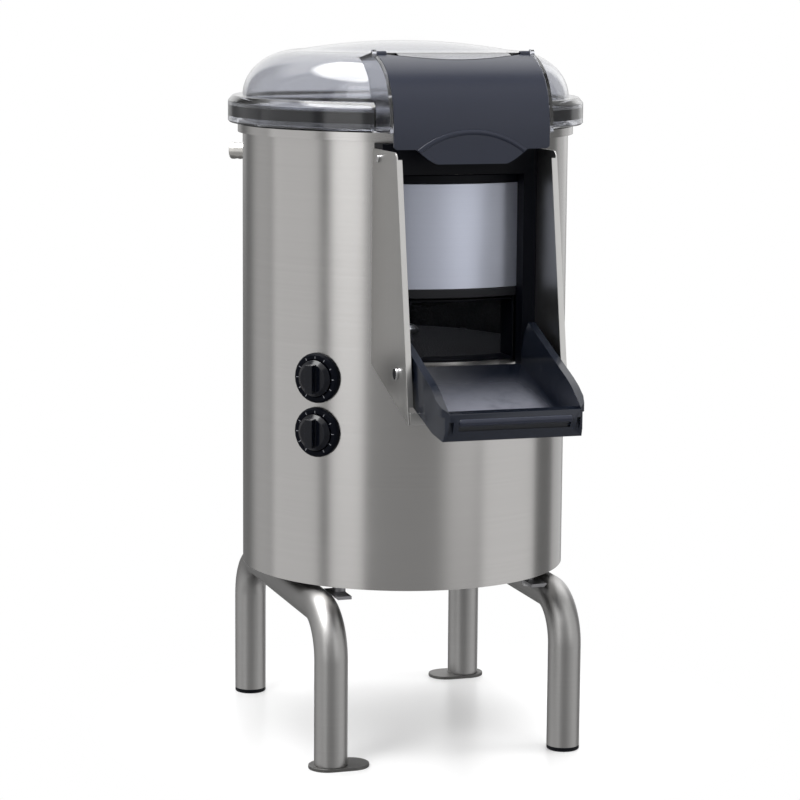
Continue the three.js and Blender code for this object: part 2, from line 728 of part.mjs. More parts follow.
function tray() {
  const nose = -trayReach;
  const footY = nose + trayFootBack;
  const rimZ = (y) => pivotZ + trayRimRise + trayRimSlopeShare * (y - pivotY);
  const bendY = nose + trayRimBendBack;
  const lipTopZ = sillZ - trayLipTopDrop;
  const noseZ = sillZ - trayNoseDrop;
  const tail = trayTailRadius;
  // The side wall's tail is an arc about the pivot, from the floor's line up to the rim's line.
  const tailStart = Math.asin((trayFloorZ(pivotY + tail) - pivotZ) / tail);
  const tailEnd = Math.asin(trayRimRise / tail) + Math.atan(trayRimSlopeShare);
  const side = [
    [footY, trayFloorZ(footY)],
    ...arc(pivotY, pivotZ, tail, tailStart, tailEnd, curveSteps / 2),
    [bendY, rimZ(bendY)],
    [nose + trayLipKneeShare * (bendY - nose),
      lipTopZ + trayLipKneeShare * (rimZ(bendY) - lipTopZ) + lipGrooveHeight / 2],
    [nose + lipGrooveHeight, lipTopZ + lipGrooveHeight / 2], [nose, noseZ],
  ];
  const inside = trayHalfWidth - trayWall;
  const whole = alongX(side, -trayHalfWidth, trayHalfWidth);
  const lipBack = nose + trayLipDepth;
  const hollow = alongX([
    [lipBack, trayFloorZ(lipBack) + trayFloor], [0, trayFloorZ(0) + trayFloor],
    [0, bodyTopZ], [nose - overrun, bodyTopZ], [nose - overrun, lipTopZ], [lipBack, lipTopZ],
  ], -inside, inside);
  const floorTail = pivotY + trayFloorTail;
  const apron = alongX([
    [pivotY, trayFloorZ(pivotY)], [floorTail, trayFloorZ(floorTail)],
    [floorTail, trayFloorZ(floorTail) + trayFloor], [pivotY, trayFloorZ(pivotY) + trayFloor],
  ], -inside, inside);
  const corner = trayPlanCorner;
  const plan = alongZ([
    [trayHalfWidth, 0], [-trayHalfWidth, 0],
    ...arc(-trayHalfWidth + corner, nose + corner, corner, Math.PI, 1.5 * Math.PI, curveSteps / 2),
    ...arc(trayHalfWidth - corner, nose + corner, corner, 1.5 * Math.PI, 2 * Math.PI, curveSteps / 2),
  ], cheekTipZ - trayFootDrop, bodyTopZ);
  const bossReach = cheekInside - seatGap;
  const bosses = [[-bossReach, -inside], [inside, bossReach]].map(([from, to]) =>
    rodX(pivotBossRadius, from, to, pivotY, pivotZ));
  const bore = rodX(pivotBoltRadius + slideGap / 2, -bossReach - overrun, bossReach + overrun,
    pivotY, pivotZ);
  const groove = block(-lipGrooveHalfLength, lipGrooveHalfLength, nose - overrun,
    nose + lipGrooveDepth + lipGrooveHeight, noseZ - 2 * lipGrooveHeight, noseZ - lipGrooveHeight);
  const ridges = [-1, 1].map((step) => {
    const y = nose + trayLipDepth / 2 + step * lipGrooveHeight;
    return block(-lipGrooveHalfLength, lipGrooveHalfLength,
      y - lipGrooveDepth / 2, y + lipGrooveDepth / 2, lipTopZ - lipGrooveDepth / 2, bodyTopZ);
  });
  const pocketX = trayHalfWidth - trayTaperIn - lipPocketWall - lipPocketWidth / 2;
  const pockets = [-1, 1].map((at) => block(
    at * pocketX - lipPocketWidth / 2, at * pocketX + lipPocketWidth / 2,
    nose - overrun, nose + lipPocketDepth, noseZ - lipPocketHeight, noseZ));
  // Under the lip's top the front corners taper towards the nose.
  const tapers = [-1, 1].map((at) => alongZ([
    [at * trayHalfWidth, nose + trayTaperBack], [at * (trayHalfWidth - trayTaperIn), nose - overrun],
    [at * (trayHalfWidth + overrun), nose - overrun],
    [at * (trayHalfWidth + overrun), nose + trayTaperBack],
  ], cheekTipZ - trayFootDrop, lipTopZ - lipGrooveHeight));
  return joined(without(whole, hollow), apron, ...bosses).intersect(plan.add(
    block(-bossReach, bossReach, pivotY - tail, 0, cheekTipZ - trayFootDrop, bodyTopZ)))
    .subtract(joined(bore, groove, ...ridges, ...pockets, ...tapers));
}

// The lid's domed part, as a solid of its outer or inner surface
function domeProfile(offset) {
  const shoulderX = bodyRadius - lidShoulderWidth;
  const crownRadius = (shoulderX * shoulderX + lidCrownRise * lidCrownRise) / (2 * lidCrownRise);
  const crownHalf = Math.asin(shoulderX / crownRadius);
  const crownZ = lidShoulderZ + lidCrownRise - crownRadius;
  const points = [];
  for (let i = 0; i <= curveSteps; i += 1) {
    const angle = i * Math.PI / 2 / curveSteps;
    points.push([
      shoulderX + (lidShoulderWidth - offset) * Math.cos(angle),
      flangeTopZ + (lidShoulderRise - offset) * Math.sin(angle),
    ]);
  }
  for (let i = 1; i <= curveSteps / 2; i += 1) {
    const angle = crownHalf * (1 - 2 * i / curveSteps);
    points.push([(crownRadius - offset) * Math.sin(angle), crownZ + (crownRadius - offset) * Math.cos(angle)]);
  }
  return points;
}

// Hood curve: a superellipse from the upright front to the level top, as (Y, Z) points
function hoodCurve(offset, steps = 2 * curveSteps) {
  const points = [];
  for (let i = 0; i <= steps; i += 1) {
    const angle = i * Math.PI / 2 / steps;
    const reachShare = Math.cos(angle) ** (2 / hoodCurveExponent);
    const riseShare = Math.sin(angle) ** (2 / hoodCurveExponent);
    points.push([
      hoodFrontY + hoodDepth - (hoodDepth - offset) * reachShare,
      hoodBaseZ + (hoodRise - offset) * riseShare,
    ]);
  }
  return points;
}

function hoodBlock(offset, halfWidth, fromZ) {
  const rootY = hoodFrontY + hoodDepth + hoodRootDepth;
  const curve = hoodCurve(offset).filter(([, z]) => z > fromZ);
  return alongX([
    [hoodFrontY + offset, fromZ], ...curve, [rootY, hoodTopZ - offset], [rootY, fromZ],
  ].reverse(), -halfWidth, halfWidth);
}

function lid() {
  const corner = lidFlangeCorner;
  const dome = turned([
    [0, lidSeatZ], [flangeRadius - corner / 2, lidSeatZ], [flangeRadius, lidSeatZ + corner / 2],
    ...arc(flangeRadius - corner, flangeTopZ - corner, corner, 0, Math.PI / 2, curveSteps / 2),
    ...domeProfile(0),
  ]);
  const domeInside = turned([
    [0, lidSeatZ - overrun], [bodyRadius - lidWall, lidSeatZ - overrun], ...domeProfile(lidWall),
  ]);
  const floorZ = lidSeatZ + lidWall;
  const hood = hoodBlock(0, hoodHalfWidth, lidSeatZ);
  const hoodHollow = hoodBlock(lidWall, hoodInside, floorZ);
  const channel = without(
    ring(bodyRadius, flangeRadius - lidWall, lidSeatZ - overrun, flangeTopZ - lidFlangeTop),
    block(-hoodHalfWidth, hoodHalfWidth, -bodyRadius - hoodOut, 0, lidSeatZ - 2 * overrun, flangeTopZ));
  const top = hoodTopZ + lidWall + hingeEarRadius;
  const mouth = without(
    block(-hoodInside, hoodInside, hoodFrontY - overrun, 0, floorZ, top),
    rodZ(bodyRadius - flapRearGap, floorZ - overrun, top + overrun, 0, 0, bigSides));
  const flapFront = block(-hoodInside, hoodInside, hoodFrontY - overrun, hoodFrontY + lidWall + slideGap,
    lidSeatZ - overrun, top);
  const ears = [[-hoodHalfWidth, -hoodInside], [hoodInside, hoodHalfWidth]].map(([from, to]) =>
    rodX(hingeEarRadius, from, to, flapHingeY, flapHingeZ));
  const notchInner = hoodInside - flapNotchWidth;
  const notchBack = flapHingeY + knuckleRadius + slideGap;
  const notches = [[-hoodInside, -notchInner], [notchInner, hoodInside]].map(([from, to]) =>
    block(from, to, flapHingeY - 2 * knuckleRadius, notchBack, flapHingeZ - 2 * knuckleRadius, top));
  const pinBore = rodX(hingePinRadius + seatGap, -hoodHalfWidth - overrun, hoodHalfWidth + overrun,
    flapHingeY, flapHingeZ);
  return without(joined(dome, hood, ...ears), domeInside, hoodHollow, channel, mouth, flapFront,
    ...notches, pinBore);
}

function gasket() {
  const seal = ring(bodyRadius + gasketBackGap, flangeRadius - lidWall - seatGap,
    flangeTopZ - lidFlangeTop - seatGap - gasketHeight, flangeTopZ - lidFlangeTop - seatGap);
  return seal.subtract(block(-hoodHalfWidth - seatGap, hoodHalfWidth + seatGap, -flangeRadius - overrun, 0,
    lidSeatZ - overrun, flangeTopZ));
}

function flap() {
  const halfWidth = hoodInside - slideGap;
  const sideZ = hoodBaseZ - flapSideDrop;
  const tongueZ = sideZ - flapTongueDrop;
  const skin = alongX([
    [hoodFrontY, tongueZ], ...hoodCurve(0),
    ...hoodCurve(flapWall).reverse(), [hoodFrontY + flapWall, tongueZ],
  ].reverse(), -halfWidth, halfWidth);
  const body = rodZ(bodyRadius, tongueZ, hoodTopZ + overrun, 0, 0, bigSides);
  const slopeEnd = flapTongueHalfWidth + flapTongueSlope;
  const below = (side) => alongY([
    [side * (halfWidth + overrun), tongueZ - overrun], [side * (halfWidth + overrun), sideZ],
    [side * slopeEnd, sideZ],
    [side * (slopeEnd + flapTongueHalfWidth) / 2, sideZ - flapTongueKneeShare * (sideZ - tongueZ)],
    [side * flapTongueHalfWidth, tongueZ], [side * flapTongueHalfWidth, tongueZ - overrun],
  ], hoodFrontY - overrun, hoodFrontY + hoodOut);
  const half = flapRidgeHalfWidth;
  const ridgeRadius = (half * half + flapRidgeRise * flapRidgeRise) / (2 * flapRidgeRise);
  const ridgeAngle = Math.asin(half / ridgeRadius);
  const ridgeZ = sideZ + flapRidgeRise - ridgeRadius;
  const ridge = alongY([
    ...arc(0, ridgeZ, ridgeRadius, Math.PI / 2 - ridgeAngle, Math.PI / 2 + ridgeAngle, 2 * curveSteps),
    ...arc(0, ridgeZ, ridgeRadius - flapRidgeWidth, Math.PI / 2 + ridgeAngle, Math.PI / 2 - ridgeAngle,
      2 * curveSteps),
  ], hoodFrontY - flapRidgeOut, hoodFrontY + flapWall / 2);
  const knuckles = [[-halfWidth, -halfWidth + knuckleLength], [halfWidth - knuckleLength, halfWidth]]
    .map(([from, to]) => joined(rodX(knuckleRadius, from, to, flapHingeY, flapHingeZ),
      block(from, to, flapHingeY - knuckleRadius, flapHingeY, flapHingeZ - knuckleRadius, flapHingeZ)));
  const bore = rodX(hingePinRadius + slideGap / 2, -halfWidth - overrun, halfWidth + overrun,
    flapHingeY, flapHingeZ);
  const behindHinge = block(-halfWidth - overrun, halfWidth + overrun, flapHingeY, 0,
    hoodBaseZ, hoodTopZ + overrun);
  const cover = without(skin, body, below(-1), below(1), behindHinge);
  return without(joined(cover, ridge, ...knuckles), bore);
}

function hingePin(side) {
  const inner = hoodInside - slideGap - knuckleLength;
  return side > 0
    ? rodX(hingePinRadius, inner, hoodHalfWidth, flapHingeY, flapHingeZ, boltSides)
    : rodX(hingePinRadius, -hoodHalfWidth, -inner, flapHingeY, flapHingeZ, boltSides);
}

// Leg frame: an upside-down U of round tube that runs from the front foot to the rear foot
function legFrame(side, frontFootZ, rearFootZ) {
  const x = side * legX;
  const bend = legBendRadius;
  const stations = [station(x, -legY, frontFootZ, Math.PI / 2)];
  for (let i = 0; i <= legBendSteps; i += 1) {
    const angle = i * Math.PI / 2 / legBendSteps;
    stations.push(station(x, -legY + bend * (1 - Math.cos(angle)), runZ - bend * (1 - Math.sin(angle)),
      Math.PI / 2 - angle));
  }
  for (let i = 0; i <= legBendSteps; i += 1) {
    const angle = i * Math.PI / 2 / legBendSteps;
    stations.push(station(x, legY - bend * (1 - Math.sin(angle)), runZ - bend * (1 - Math.cos(angle)),
      -angle));
  }
  stations.push(station(x, legY, rearFootZ, -Math.PI / 2));
  return tube(stations, tubeRadius, tubeWall, smallSides);
}

// Foot plate: a flat bar with round ends and one hole for a floor bolt
function footPlate(side, end) {
  const half = footPlateWidth / 2;
  const from = -footPlateBack + half;
  const to = footPlateFront - half;
  const plate = without(
    alongZ([
      ...arc(to, 0, half, -Math.PI / 2, Math.PI / 2),
      ...arc(from, 0, half, Math.PI / 2, 1.5 * Math.PI),
    ], 0, footPlateThick),
    rodZ(footHoleRadius, -overrun, footPlateThick + overrun, footPlateFront - footHoleInset, 0));
  const geometry = geometryOf(plate);
  if (side > 0) {
    geometry.rotateZ(Math.PI);
  }
  return solid(geometry.translate(side * legX, end * legY, 0));
}

function footCap(side, end) {
  return joined(
    rodZ(tubeRadius, 0, footCapThick, side * legX, end * legY, midSides),
    rodZ(tubeRadius - tubeWall - slideGap, 0, footCapThick + footPlugLength, side * legX, end * legY,
      midSides));
}

function frameBracket(side, end) {
  const top = bodyBottomZ - seatGap;
  const plateTop = bodyBottomZ - bracketPlateDrop;
  const plateBottom = plateTop - bracketPlateThick;
  const x = side * bracketBossX;
  const y = end * bracketBossY;
  const xs = [side * bracketInnerX, side * legX].sort((a, b) => a - b);
  const ys = [end * bracketNearY, end * bracketFarY].sort((a, b) => a - b);
  const plate = without(
    block(xs[0], xs[1], ys[0], ys[1], plateBottom, plateTop),
    rodY(tubeRadius + seatGap, ys[0] - overrun, ys[1] + overrun, side * legX, runZ, midSides));
  const boss = rodZ(bracketBossRadius, plateBottom, top, x, y);
  const bore = rodZ(bracketBoltRadius + seatGap, plateBottom - overrun, top + overrun, x, y, boltSides);
  return without(joined(plate, boss), bore);
}

function frameBolt(side, end) {
  const under = bodyBottomZ - bracketPlateDrop - bracketPlateThick - seatGap;
  const x = side * bracketBossX;
  const y = end * bracketBossY;
  return joined(
    rodZ(bracketBoltHeadRadius, under - bracketBoltHeadHeight, under, x, y, hexSides),
    rodZ(bracketBoltRadius, under - bracketBoltHeadHeight / 2, under + bracketBoltLength, x, y, boltSides));
}

function basePlate() {
  const bottom = baseTopZ - baseSheet;
  const plate = turned([
    [0, bottom], [shellInside - seatGap, bottom], [shellInside - seatGap, baseTopZ], [0, baseTopZ],
  ]);
  const vents = [];
  for (let i = 0; i < ventCount; i += 1) {
    const angle = (i + 1 / 2) * 2 * Math.PI / ventCount;
    vents.push(rodZ(ventRadius, bottom - overrun, baseTopZ + overrun,
      ventRingShare * bodyRadius * Math.cos(angle), ventRingShare * bodyRadius * Math.sin(angle), boltSides));
  }
  const boltHoles = [];
  for (const side of [-1, 1]) {
    for (const end of [-1, 1]) {
      boltHoles.push(rodZ(bracketBoltRadius + seatGap, bottom - overrun, baseTopZ + overrun,
        side * bracketBossX, end * bracketBossY, boltSides));
    }
  }
  return without(plate, ...vents, ...boltHoles);
}

function abrasiveDisc() {
  const edge = drumInside - seatGap - liningThick - discGap;
  const bottom = deckTopZ + discLift;
  const rimTop = bottom + discEdge;
  const crown = rimTop + discCrown;
  const bore = shaftRadius + seatGap;
  const points = [[bore, bottom], [discHubRadius, bottom], [discHubRadius, crown - discSkin - discEdge]];
  for (let i = 0; i <= curveSteps / 2; i += 1) {
    const share = 2 * i / curveSteps;
    points.push([
      discHubRadius + (edge - discEdge - discHubRadius) * share,
      rimTop - discSkin + (crown - rimTop - discEdge) * (1 - share * share),
    ]);
  }
  points.push([edge - discEdge, bottom], [edge, bottom], [edge, rimTop]);
  for (let i = 1; i <= curveSteps / 2; i += 1) {
    const share = 1 - 2 * i / curveSteps;
    points.push([
      discHubRadius + (edge - discHubRadius) * share,
      rimTop + (crown - rimTop) * (1 - share * share),
    ]);
  }
  points.push([bore, crown]);
  return turned(points, bigSides);
}

function discCap() {
  const seat = deckTopZ + discLift + discEdge + discCrown + seatGap;
  return turned([
    [0, seat], [discCapRadius, seat], [discCapRadius, seat + discCapHeight / 2],
    [discCapRadius * Math.cos(Math.PI / 4), seat + discCapHeight], [0, seat + discCapHeight],
  ], midSides);
}

function driveShaft() {
  return rodZ(shaftRadius, deckBottomZ - shaftTailDrop,
    deckTopZ + discLift + discEdge + discCrown, 0, 0, midSides);
}

function bearingHousing() {
  const top = deckBottomZ - seatGap;
  const bore = bearingOutside + seatGap;
  return turned([
    [bore, top - housingHeight], [housingOutside, top - housingHeight],
    [housingOutside, top - housingFlangeThick], [housingFlangeRadius, top - housingFlangeThick],
    [housingFlangeRadius, top], [bore, top], [bore, top - bearingInset - bearingWidth - seatGap],
    [bore - drumSheet, top - bearingInset - bearingWidth - seatGap],
    [bore - drumSheet, top - housingHeight + bearingInset + bearingWidth + seatGap],
    [bore, top - housingHeight + bearingInset + bearingWidth + seatGap],
  ], midSides);
}

function bearing(fromZ) {
  return ring(shaftRadius + seatGap, bearingOutside, fromZ, fromZ + bearingWidth, midSides);
}

function shaftSeal() {
  const bottom = deckTopZ + seatGap;
  return ring(shaftRadius + seatGap, sealOutside, bottom, bottom + sealHeight, midSides);
}

function pulley(radius, boreRadius, sides) {
  const lip = radius + pulleyLip;
  const belly = beltWidth + 2 * slideGap;
  const cheekWidth = (pulleyWidth - belly) / 2;
  return turned([
    [boreRadius, pulleyBottomZ], [lip, pulleyBottomZ], [lip, pulleyBottomZ + cheekWidth],
    [radius, pulleyBottomZ + cheekWidth], [radius, pulleyTopZ - cheekWidth],
    [lip, pulleyTopZ - cheekWidth], [lip, pulleyTopZ], [boreRadius, pulleyTopZ],
  ], sides);
}

// Belt: two arcs round the pulleys joined by their common tangents
function driveBelt() {
  const loop = (inset) => {
    const big = bigPulleyRadius + inset;
    const small = smallPulleyRadius + inset;
    const lean = Math.asin((big - small) / motorOffset);
    return [
      ...arc(0, 0, big, Math.PI - lean, 2 * Math.PI + lean, 4 * curveSteps),
      ...arc(0, motorOffset, small, lean, Math.PI - lean, 2 * curveSteps),
    ];
  };
  const middle = (pulleyBottomZ + pulleyTopZ) / 2;
  return without(
    alongZ(loop(slideGap + beltThick), middle - beltWidth / 2, middle + beltWidth / 2),
    alongZ(loop(slideGap), middle - beltWidth / 2 - overrun, middle + beltWidth / 2 + overrun));
}

function motor() {
  const points = [[0, motorTopZ - motorHeight], [motorRadius - motorFinDepth, motorTopZ - motorHeight]];
  const pitch = motorHeight / (2 * motorFinCount + 1);
  for (let i = 0; i < motorFinCount; i += 1) {
    const z = motorTopZ - motorHeight + pitch * (2 * i + 1);
    points.push([motorRadius - motorFinDepth, z], [motorRadius, z], [motorRadius, z + pitch],
      [motorRadius - motorFinDepth, z + pitch]);
  }
  points.push([motorRadius - motorFinDepth, motorTopZ], [0, motorTopZ]);
  return geometryOf(turned(points, midSides)).translate(0, motorOffset, 0);
}

function motorShaft() {
  return rodZ(motorShaftRadius, motorTopZ + seatGap, pulleyTopZ, 0, motorOffset);
}

function motorBracket() {
  const top = deckBottomZ - seatGap;
  const half = motorBracketHalfWidth;
  const sheet = motorBracketSheet;
  const plate = without(
    block(-half, half, -motorBracketFront, motorBracketBack, motorPlateTopZ - sheet, motorPlateTopZ),
    rodZ(motorShaftRadius + drumSheet, motorPlateTopZ - 2 * sheet, motorPlateTopZ + sheet, 0, motorOffset));
  const walls = [[-half, -half + sheet], [half - sheet, half]].map(([from, to]) =>
    block(from, to, -motorBracketFront, motorBracketBack - drumGap, motorPlateTopZ - sheet, top));
  return joined(plate, ...walls);
}

function drainPipe() {
  const top = deckBottomZ - seatGap;
  const stations = [station(-drainX, drainY, top, -Math.PI / 2)];
  const bendTop = drainZ + drainBend;
  for (let i = 0; i <= drainBendSteps; i += 1) {
    const angle = i * Math.PI / 2 / drainBendSteps;
    stations.push(station(-drainX, drainY + drainBend * (1 - Math.cos(angle)),
      bendTop - drainBend * Math.sin(angle), -Math.PI / 2 + angle));
  }
  stations.push(station(-drainX, drainLength, drainZ, 0));
  return tube(stations, drainRadius, drainWall, smallSides);
}

function waterInlet() {
  const out = bodyRadius + inletOut;
  const face = bodyRadius + slideGap;
  const tip = drumInside - inletInside;
  const pitch = (inletOut - inletFlangeThick) / (2 * threadCount);
  const thread = [];
  for (let i = 0; i < threadCount; i += 1) {
    const x = face + inletFlangeThick + 2 * pitch * i;
    thread.push([inletRadius - bodySheet / 2, x], [inletRadius, x + pitch]);
  }
  return turnedOut([
    [inletBore, tip], [inletPipeRadius, tip], [inletPipeRadius, face], [inletFlangeRadius, face],
    [inletFlangeRadius, face + inletFlangeThick], ...thread, [inletRadius, out], [inletBore, out],
  ], smallSides);
}

function cableGland() {
  const face = bodyRadius + slideGap;
  return turnedOut([
    [glandBore, shellInside - glandOut / 2], [glandRadius, shellInside - glandOut / 2], [glandRadius, face],
    [glandNutRadius, face], [glandNutRadius, face + glandOut / 2], [glandRadius, face + glandOut],
    [glandBore, face + glandOut],
  ], smallSides);
}

function bezel() {
  const face = bodyRadius + bezelThick;
  const bore = knobSkirtRadius + slideGap;
  const disc = turnedOut([
    [controlNeckRadius + seatGap, bodyRadius - bezelThick], [bezelRadius, bodyRadius - bezelThick],
    [bezelRadius, face - bezelStep / 2], [bezelRadius - bezelStep / 2, face], [bore, face],
    [bore, face - bezelStep / 2], [controlNeckRadius + seatGap, face - bezelStep / 2],
  ], midSides);
  const bed = rodZ(bodyRadius + seatGap, -2 * bezelRadius, 2 * bezelRadius, 0, 0, 2 * bigSides);
  return disc.subtract(bed);
}

function controlCase() {
  const half = controlCaseSize / 2;
  const front = shellInside - overrun;
  return without(
    joined(block(front - controlCaseDepth, front, -half, half, -half, half),
      rodX(controlNeckRadius, front - controlCaseDepth / 2, bodyRadius + bezelThick / 2, 0, 0)),
    rodX(spindleRadius + seatGap, front - controlCaseDepth / 2, bodyRadius + 2 * bezelThick, 0, 0));
}

function knob() {
  const seat = bodyRadius + bezelThick - bezelStep / 2 + slideGap;
  const skirtTop = seat + knobSkirtThick;
  const dial = turnedOut([
    [0, seat], [knobSkirtRadius, seat], [knobSkirtRadius, skirtTop],
    [knobRadius, skirtTop + knobSkirtThick],
    [0, skirtTop + knobSkirtThick],
  ], midSides);
  const grip = block(skirtTop, seat + knobHeight, -knobGripWidth / 2, knobGripWidth / 2,
    -knobRadius, knobRadius);
  const spindle = rodX(spindleRadius, shellInside - overrun - controlCaseDepth / 2 + slideGap,
    seat + knobSkirtThick, 0, 0);
  return joined(dial, grip, spindle);
}

// Body and its fixed pieces
place('body_shell', bodyShell(), 'brushedSteel');
place('top_rim', topRim(), 'brushedSteel');
place('peeling_drum', drum(), 'plainSteel');
place('drum_deck', deck(), 'plainSteel');
place('abrasive_lining', lining(), 'grit');
place('outlet_neck', outletNeck(), 'blackPlastic');
place('outlet_frame', outletFrame(), 'blackPlastic');
place('base_plate', basePlate(), 'plainSteel');

// Housing of the tray
const sideNames = [['left', -1], ['right', 1]];
for (const [word, side] of sideNames) {
  place(`cheek_${word}`, cheek(side), 'brushedSteel');
  place(`tray_pivot_bolt_${word}`, pivotBolt(side), 'polishedSteel');
  place(`cheek_screw_${word}`, cheekScrew(side), 'polishedSteel');
}
place('tray_rest_bar', restBar(), 'brushedSteel');

// Legs and feet: the front left and rear right feet have plates, the other two have caps
const plateSeat = footPlateThick + seatGap;
const capSeat = footCapThick + seatGap;
place('leg_frame_left', legFrame(-1, plateSeat, capSeat), 'brushedSteel');
place('leg_frame_right', legFrame(1, capSeat, plateSeat), 'brushedSteel');
place('foot_plate_front_left', footPlate(-1, -1), 'brushedSteel');
place('foot_plate_rear_right', footPlate(1, 1), 'brushedSteel');
place('foot_cap_front_right', footCap(1, -1), 'blackPlastic');
place('foot_cap_rear_left', footCap(-1, 1), 'blackPlastic');
for (const [word, side] of sideNames) {
  for (const [endWord, end] of [['front', -1], ['rear', 1]]) {
    place(`frame_bracket_${endWord}_${word}`, frameBracket(side, end), 'plainSteel');
    place(`frame_bolt_${endWord}_${word}`, frameBolt(side, end), 'polishedSteel');
  }
}

// Drive under the deck
place('bearing_housing', bearingHousing(), 'castAluminium');
place('bearing_upper', bearing(deckBottomZ - seatGap - bearingInset - bearingWidth), 'polishedSteel');
place('bearing_lower', bearing(deckBottomZ - seatGap - housingHeight + bearingInset), 'polishedSteel');
place('shaft_seal', shaftSeal(), 'rubber');
place('motor_bracket', motorBracket(), 'plainSteel');
place('motor', solid(motor()), 'motorPaint');
place('drive_belt', driveBelt(), 'rubber');
place('drain_pipe', drainPipe(), 'blackPlastic');

// Spinning pieces
const spindleGroup = new THREE.Group();
machine.add(spindleGroup);
place('drive_shaft', driveShaft(), 'polishedSteel', spindleGroup);
place('drive_pulley', pulley(bigPulleyRadius, shaftRadius + seatGap, midSides), 'castAluminium',
  spindleGroup);
place('abrasive_disc', abrasiveDisc(), 'grit', spindleGroup);
place('disc_cap', discCap(), 'castAluminium', spindleGroup);
const motorGroup = new THREE.Group();
motorGroup.position.set(0, motorOffset, 0);
machine.add(motorGroup);
place('motor_pulley', pulley(smallPulleyRadius, motorShaftRadius + seatGap, midSides), 'castAluminium',
  motorGroup);
place('motor_shaft', motorShaft(), 'polishedSteel');

// Radial pieces: controls, water inlet and cable gland
const controlNames = ['timer', 'switch'];
controlNames.forEach((word, i) => {
  const group = radialGroup(knobAngle, knobZs[i]);
  place(`${word}_case`, controlCase(), 'blackPlastic', group);
  place(`${word}_bezel`, bezel(), 'blackPlastic', group);
  place(`${word}_knob`, knob(), 'blackPlastic', group);
});
place('water_inlet', waterInlet(), 'brass', radialGroup(inletAngle, inletZ));
place('cable_gland', cableGland(), 'blackPlastic', radialGroup(glandAngle, glandZ));

// Outlet door, tray, lid and flap
place('outlet_door', doorPlate(), 'polishedSteel');
place('outlet_door_edge', doorEdge(), 'rubber');
place('outlet_door_grip', doorGrip(), 'blackPlastic');
place('discharge_tray', tray(), 'darkPlastic');
place('lid', lid(), 'clear');
place('lid_gasket', gasket(), 'rubber');
place('feed_flap', flap(), 'darkPlastic');
for (const [word, side] of sideNames) {
  place(`flap_hinge_pin_${word}`, hingePin(side), 'polishedSteel');
}

export default machine;
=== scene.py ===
"""Studio scene of a floor-standing potato peeling machine, laid out as an add-on.

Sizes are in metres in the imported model's frame: the floor is at zero, the front is -Y and the
machine's axis is upright at AXIS_Y. Each builder below makes one piece as a surface worked out
on a grid, and its docstring gives the formula in words.
"""

import json
import math

import bmesh
import bpy
import numpy as np
from mathutils import Matrix, Vector


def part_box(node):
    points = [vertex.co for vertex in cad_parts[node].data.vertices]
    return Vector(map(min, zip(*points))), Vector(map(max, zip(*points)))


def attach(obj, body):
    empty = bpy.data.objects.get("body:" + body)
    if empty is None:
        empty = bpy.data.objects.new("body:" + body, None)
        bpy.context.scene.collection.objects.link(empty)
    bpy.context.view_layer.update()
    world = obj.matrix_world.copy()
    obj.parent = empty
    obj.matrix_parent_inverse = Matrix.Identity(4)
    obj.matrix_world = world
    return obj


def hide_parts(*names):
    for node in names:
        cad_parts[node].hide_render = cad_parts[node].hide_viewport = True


bl_info = {
    "name": "Potato peeling machine",
    "version": (1, 0, 0),
    "blender": (4, 5, 0),
    "location": "View3D > Sidebar > Peeler",
    "description": "Builds the machine's visible pieces, their finishes and a small studio",
    "category": "Object",
}

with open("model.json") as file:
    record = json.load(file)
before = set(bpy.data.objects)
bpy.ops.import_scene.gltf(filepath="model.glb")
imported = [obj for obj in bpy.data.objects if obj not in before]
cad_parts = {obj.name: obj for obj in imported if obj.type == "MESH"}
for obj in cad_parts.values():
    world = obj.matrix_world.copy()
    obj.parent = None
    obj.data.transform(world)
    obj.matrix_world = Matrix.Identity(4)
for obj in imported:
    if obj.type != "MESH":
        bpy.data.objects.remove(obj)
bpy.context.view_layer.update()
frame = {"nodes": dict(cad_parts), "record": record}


def span(node, axis):
    """Lowest and highest place of a CAD node along one axis."""
    low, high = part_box(node)
    return low[axis], high[axis]


# Body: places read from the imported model, the sheet's thickness and the lip folded in below
AXIS_Y = sum(span("body_shell", 1)) / 2
BODY_BOTTOM, BODY_TOP = span("body_shell", 2)
SHEET, BODY_LIP = 0.0015, 0.0125
RIM_INNER, RIM_SHEET, RIM_ROUND = 0.165, 0.0027, 0.002
# Clear space between pieces that lie against each other
GAP = 0.0006

# Outlet: half width, lower and upper edge of the opening in the body
OUTLET_HALF = 0.077
SILL_EDGE = span("outlet_neck", 2)[0] - 0.0003
OUTLET_TOP = span("outlet_door_edge", 2)[0] + 0.0005

# Lid: flange, dome, crown and the wall of the moulding
LID_SEAT_Z = span("lid", 2)[0]
FLANGE_R, FLANGE_TOP = 0.218, LID_SEAT_Z + 0.0327
FLANGE_UNDER = FLANGE_TOP - 0.008
DOME_R, SHOULDER_R, SHOULDER_Z, CROWN_RISE = 0.2, 0.130, FLANGE_TOP + 0.0555, 0.0115
LID_WALL, CUT_SLACK = 0.004, 0.005
GASKET_INNER, GASKET_OUTER, GASKET_DROP = 0.2015, 0.2145, 0.0035

# Hood on the lid: a superellipse from its upright front to its level top
HOOD_HALF = 0.099
HOOD_FRONT = span("feed_flap", 1)[0] + 0.0016
HOOD_TOP = SHOULDER_Z + 0.0045
HOOD_BASE = HOOD_TOP - 0.108
HOOD_DEPTH, HOOD_POWER = 0.130, 2.8
MOUTH_R = 0.1985

